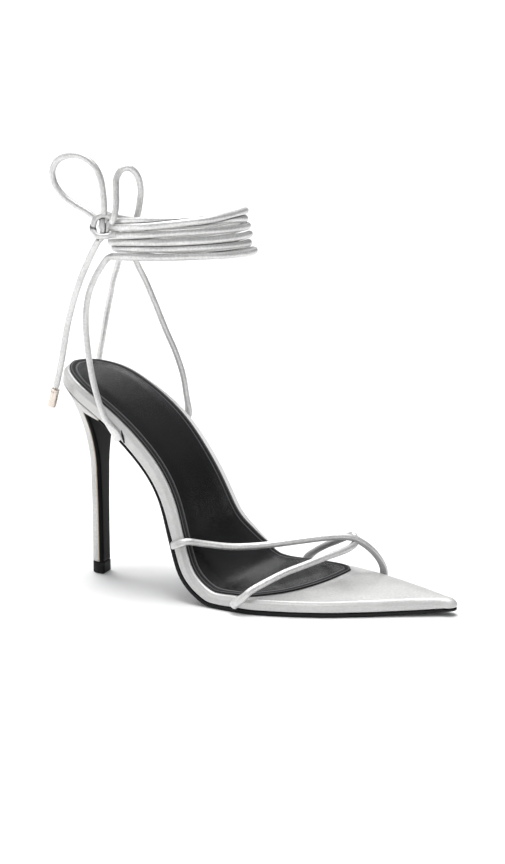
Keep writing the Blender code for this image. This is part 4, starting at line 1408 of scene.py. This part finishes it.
# %% [markdown]
# ## Floor and light
#
# The sandal stands on a plain white floor under soft studio light. Two broad lights, modelled as suns with
# very wide discs, light the whole floor evenly from above and from behind and give soft shadows. Three
# panels add the streaks that make foil leather read as metal. The room is a gradient, dim at the sides and
# brighter above, so that the cords keep their darker edges.

# %% Set the floor
FLOOR_HALF = 20.0
floor_corners = [(x * FLOOR_HALF, y * FLOOR_HALF, 0.0) for x, y in ((-1, -1), (1, -1), (1, 1), (-1, 1))]
floor_mesh = bpy.data.meshes.new("studio floor")
floor_mesh.from_pydata(floor_corners, [], [(0, 1, 2, 3)])
floor = bpy.data.objects.new("studio floor", floor_mesh)
bpy.context.scene.collection.objects.link(floor)
floor_paint = Finish("pale floor paint", Specular_IOR_Level=0.2)
speckle = floor_paint.noise(60.0, 2.0)
floor_paint.set(Base_Color=floor_paint.mix(speckle, (0.90, 0.90, 0.90, 1.0), (0.92, 0.92, 0.92, 1.0)),
                Roughness=0.7 + 0.1 * speckle)
wear(floor, floor_paint)

# %% Set the lights
ROOM_SIDE = 0.13
ROOM_TOP = 0.55
room = bpy.data.worlds.new("studio room")
room.use_nodes = True
light = room.node_tree.nodes["Background"]
light.inputs["Color"].default_value = (0.97, 0.98, 1.0, 1.0)
place = room.node_tree.nodes.new("ShaderNodeTexCoord")
split = room.node_tree.nodes.new("ShaderNodeSeparateXYZ")
rise = room.node_tree.nodes.new("ShaderNodeMapRange")
rise.interpolation_type = "SMOOTHSTEP"
for socket, value in (("From Min", 0.0), ("From Max", 0.9), ("To Min", ROOM_SIDE), ("To Max", ROOM_TOP)):
    rise.inputs[socket].default_value = value
room.node_tree.links.new(place.outputs["Generated"], split.inputs[0])
room.node_tree.links.new(split.outputs["Z"], rise.inputs["Value"])
room.node_tree.links.new(rise.outputs["Result"], light.inputs["Strength"])
bpy.context.scene.world = room
bpy.context.scene.view_settings.view_transform = "Standard"


def aimed(name, data, place, target):
    lamp = bpy.data.objects.new(name, data)
    lamp.location = place
    lamp.rotation_euler = (Vector(target) - Vector(place)).to_track_quat("-Z", "Y").to_euler()
    bpy.context.scene.collection.objects.link(lamp)
    print(name, "at", tuple(round(v, 2) for v in place))


for name, place, spread, energy in (
        ("overhead light", (0.0, 0.1, 1.6), 30, 2.0),
        ("back light", (-0.7, 0.6, 1.5), 35, 1.5)):
    sun = bpy.data.lights.new(name, "SUN")
    sun.energy = energy
    sun.angle = math.radians(spread)
    aimed(name, sun, place, (0.0, 0.0, 0.0))
for name, place, size, power in (
        ("left panel", (-1.2, -0.7, 0.45), (0.4, 0.8), 3.6),
        ("back panel", (-0.30, 1.5, 0.87), (0.50, 0.38), 1.15),
        ("front panel", (0.5, -1.35, 0.40), (1.2, 0.5), 3.0)):
    panel = bpy.data.lights.new(name, "AREA")
    panel.shape = "RECTANGLE"
    panel.size, panel.size_y = size
    panel.energy = power
    aimed(name, panel, place, (-0.03, 0.0, 0.1))

# %% [markdown]
# ## The end
#
# The last cell prints that the sandal is dressed.

# %% Print the end
print("the sandal is dressed")
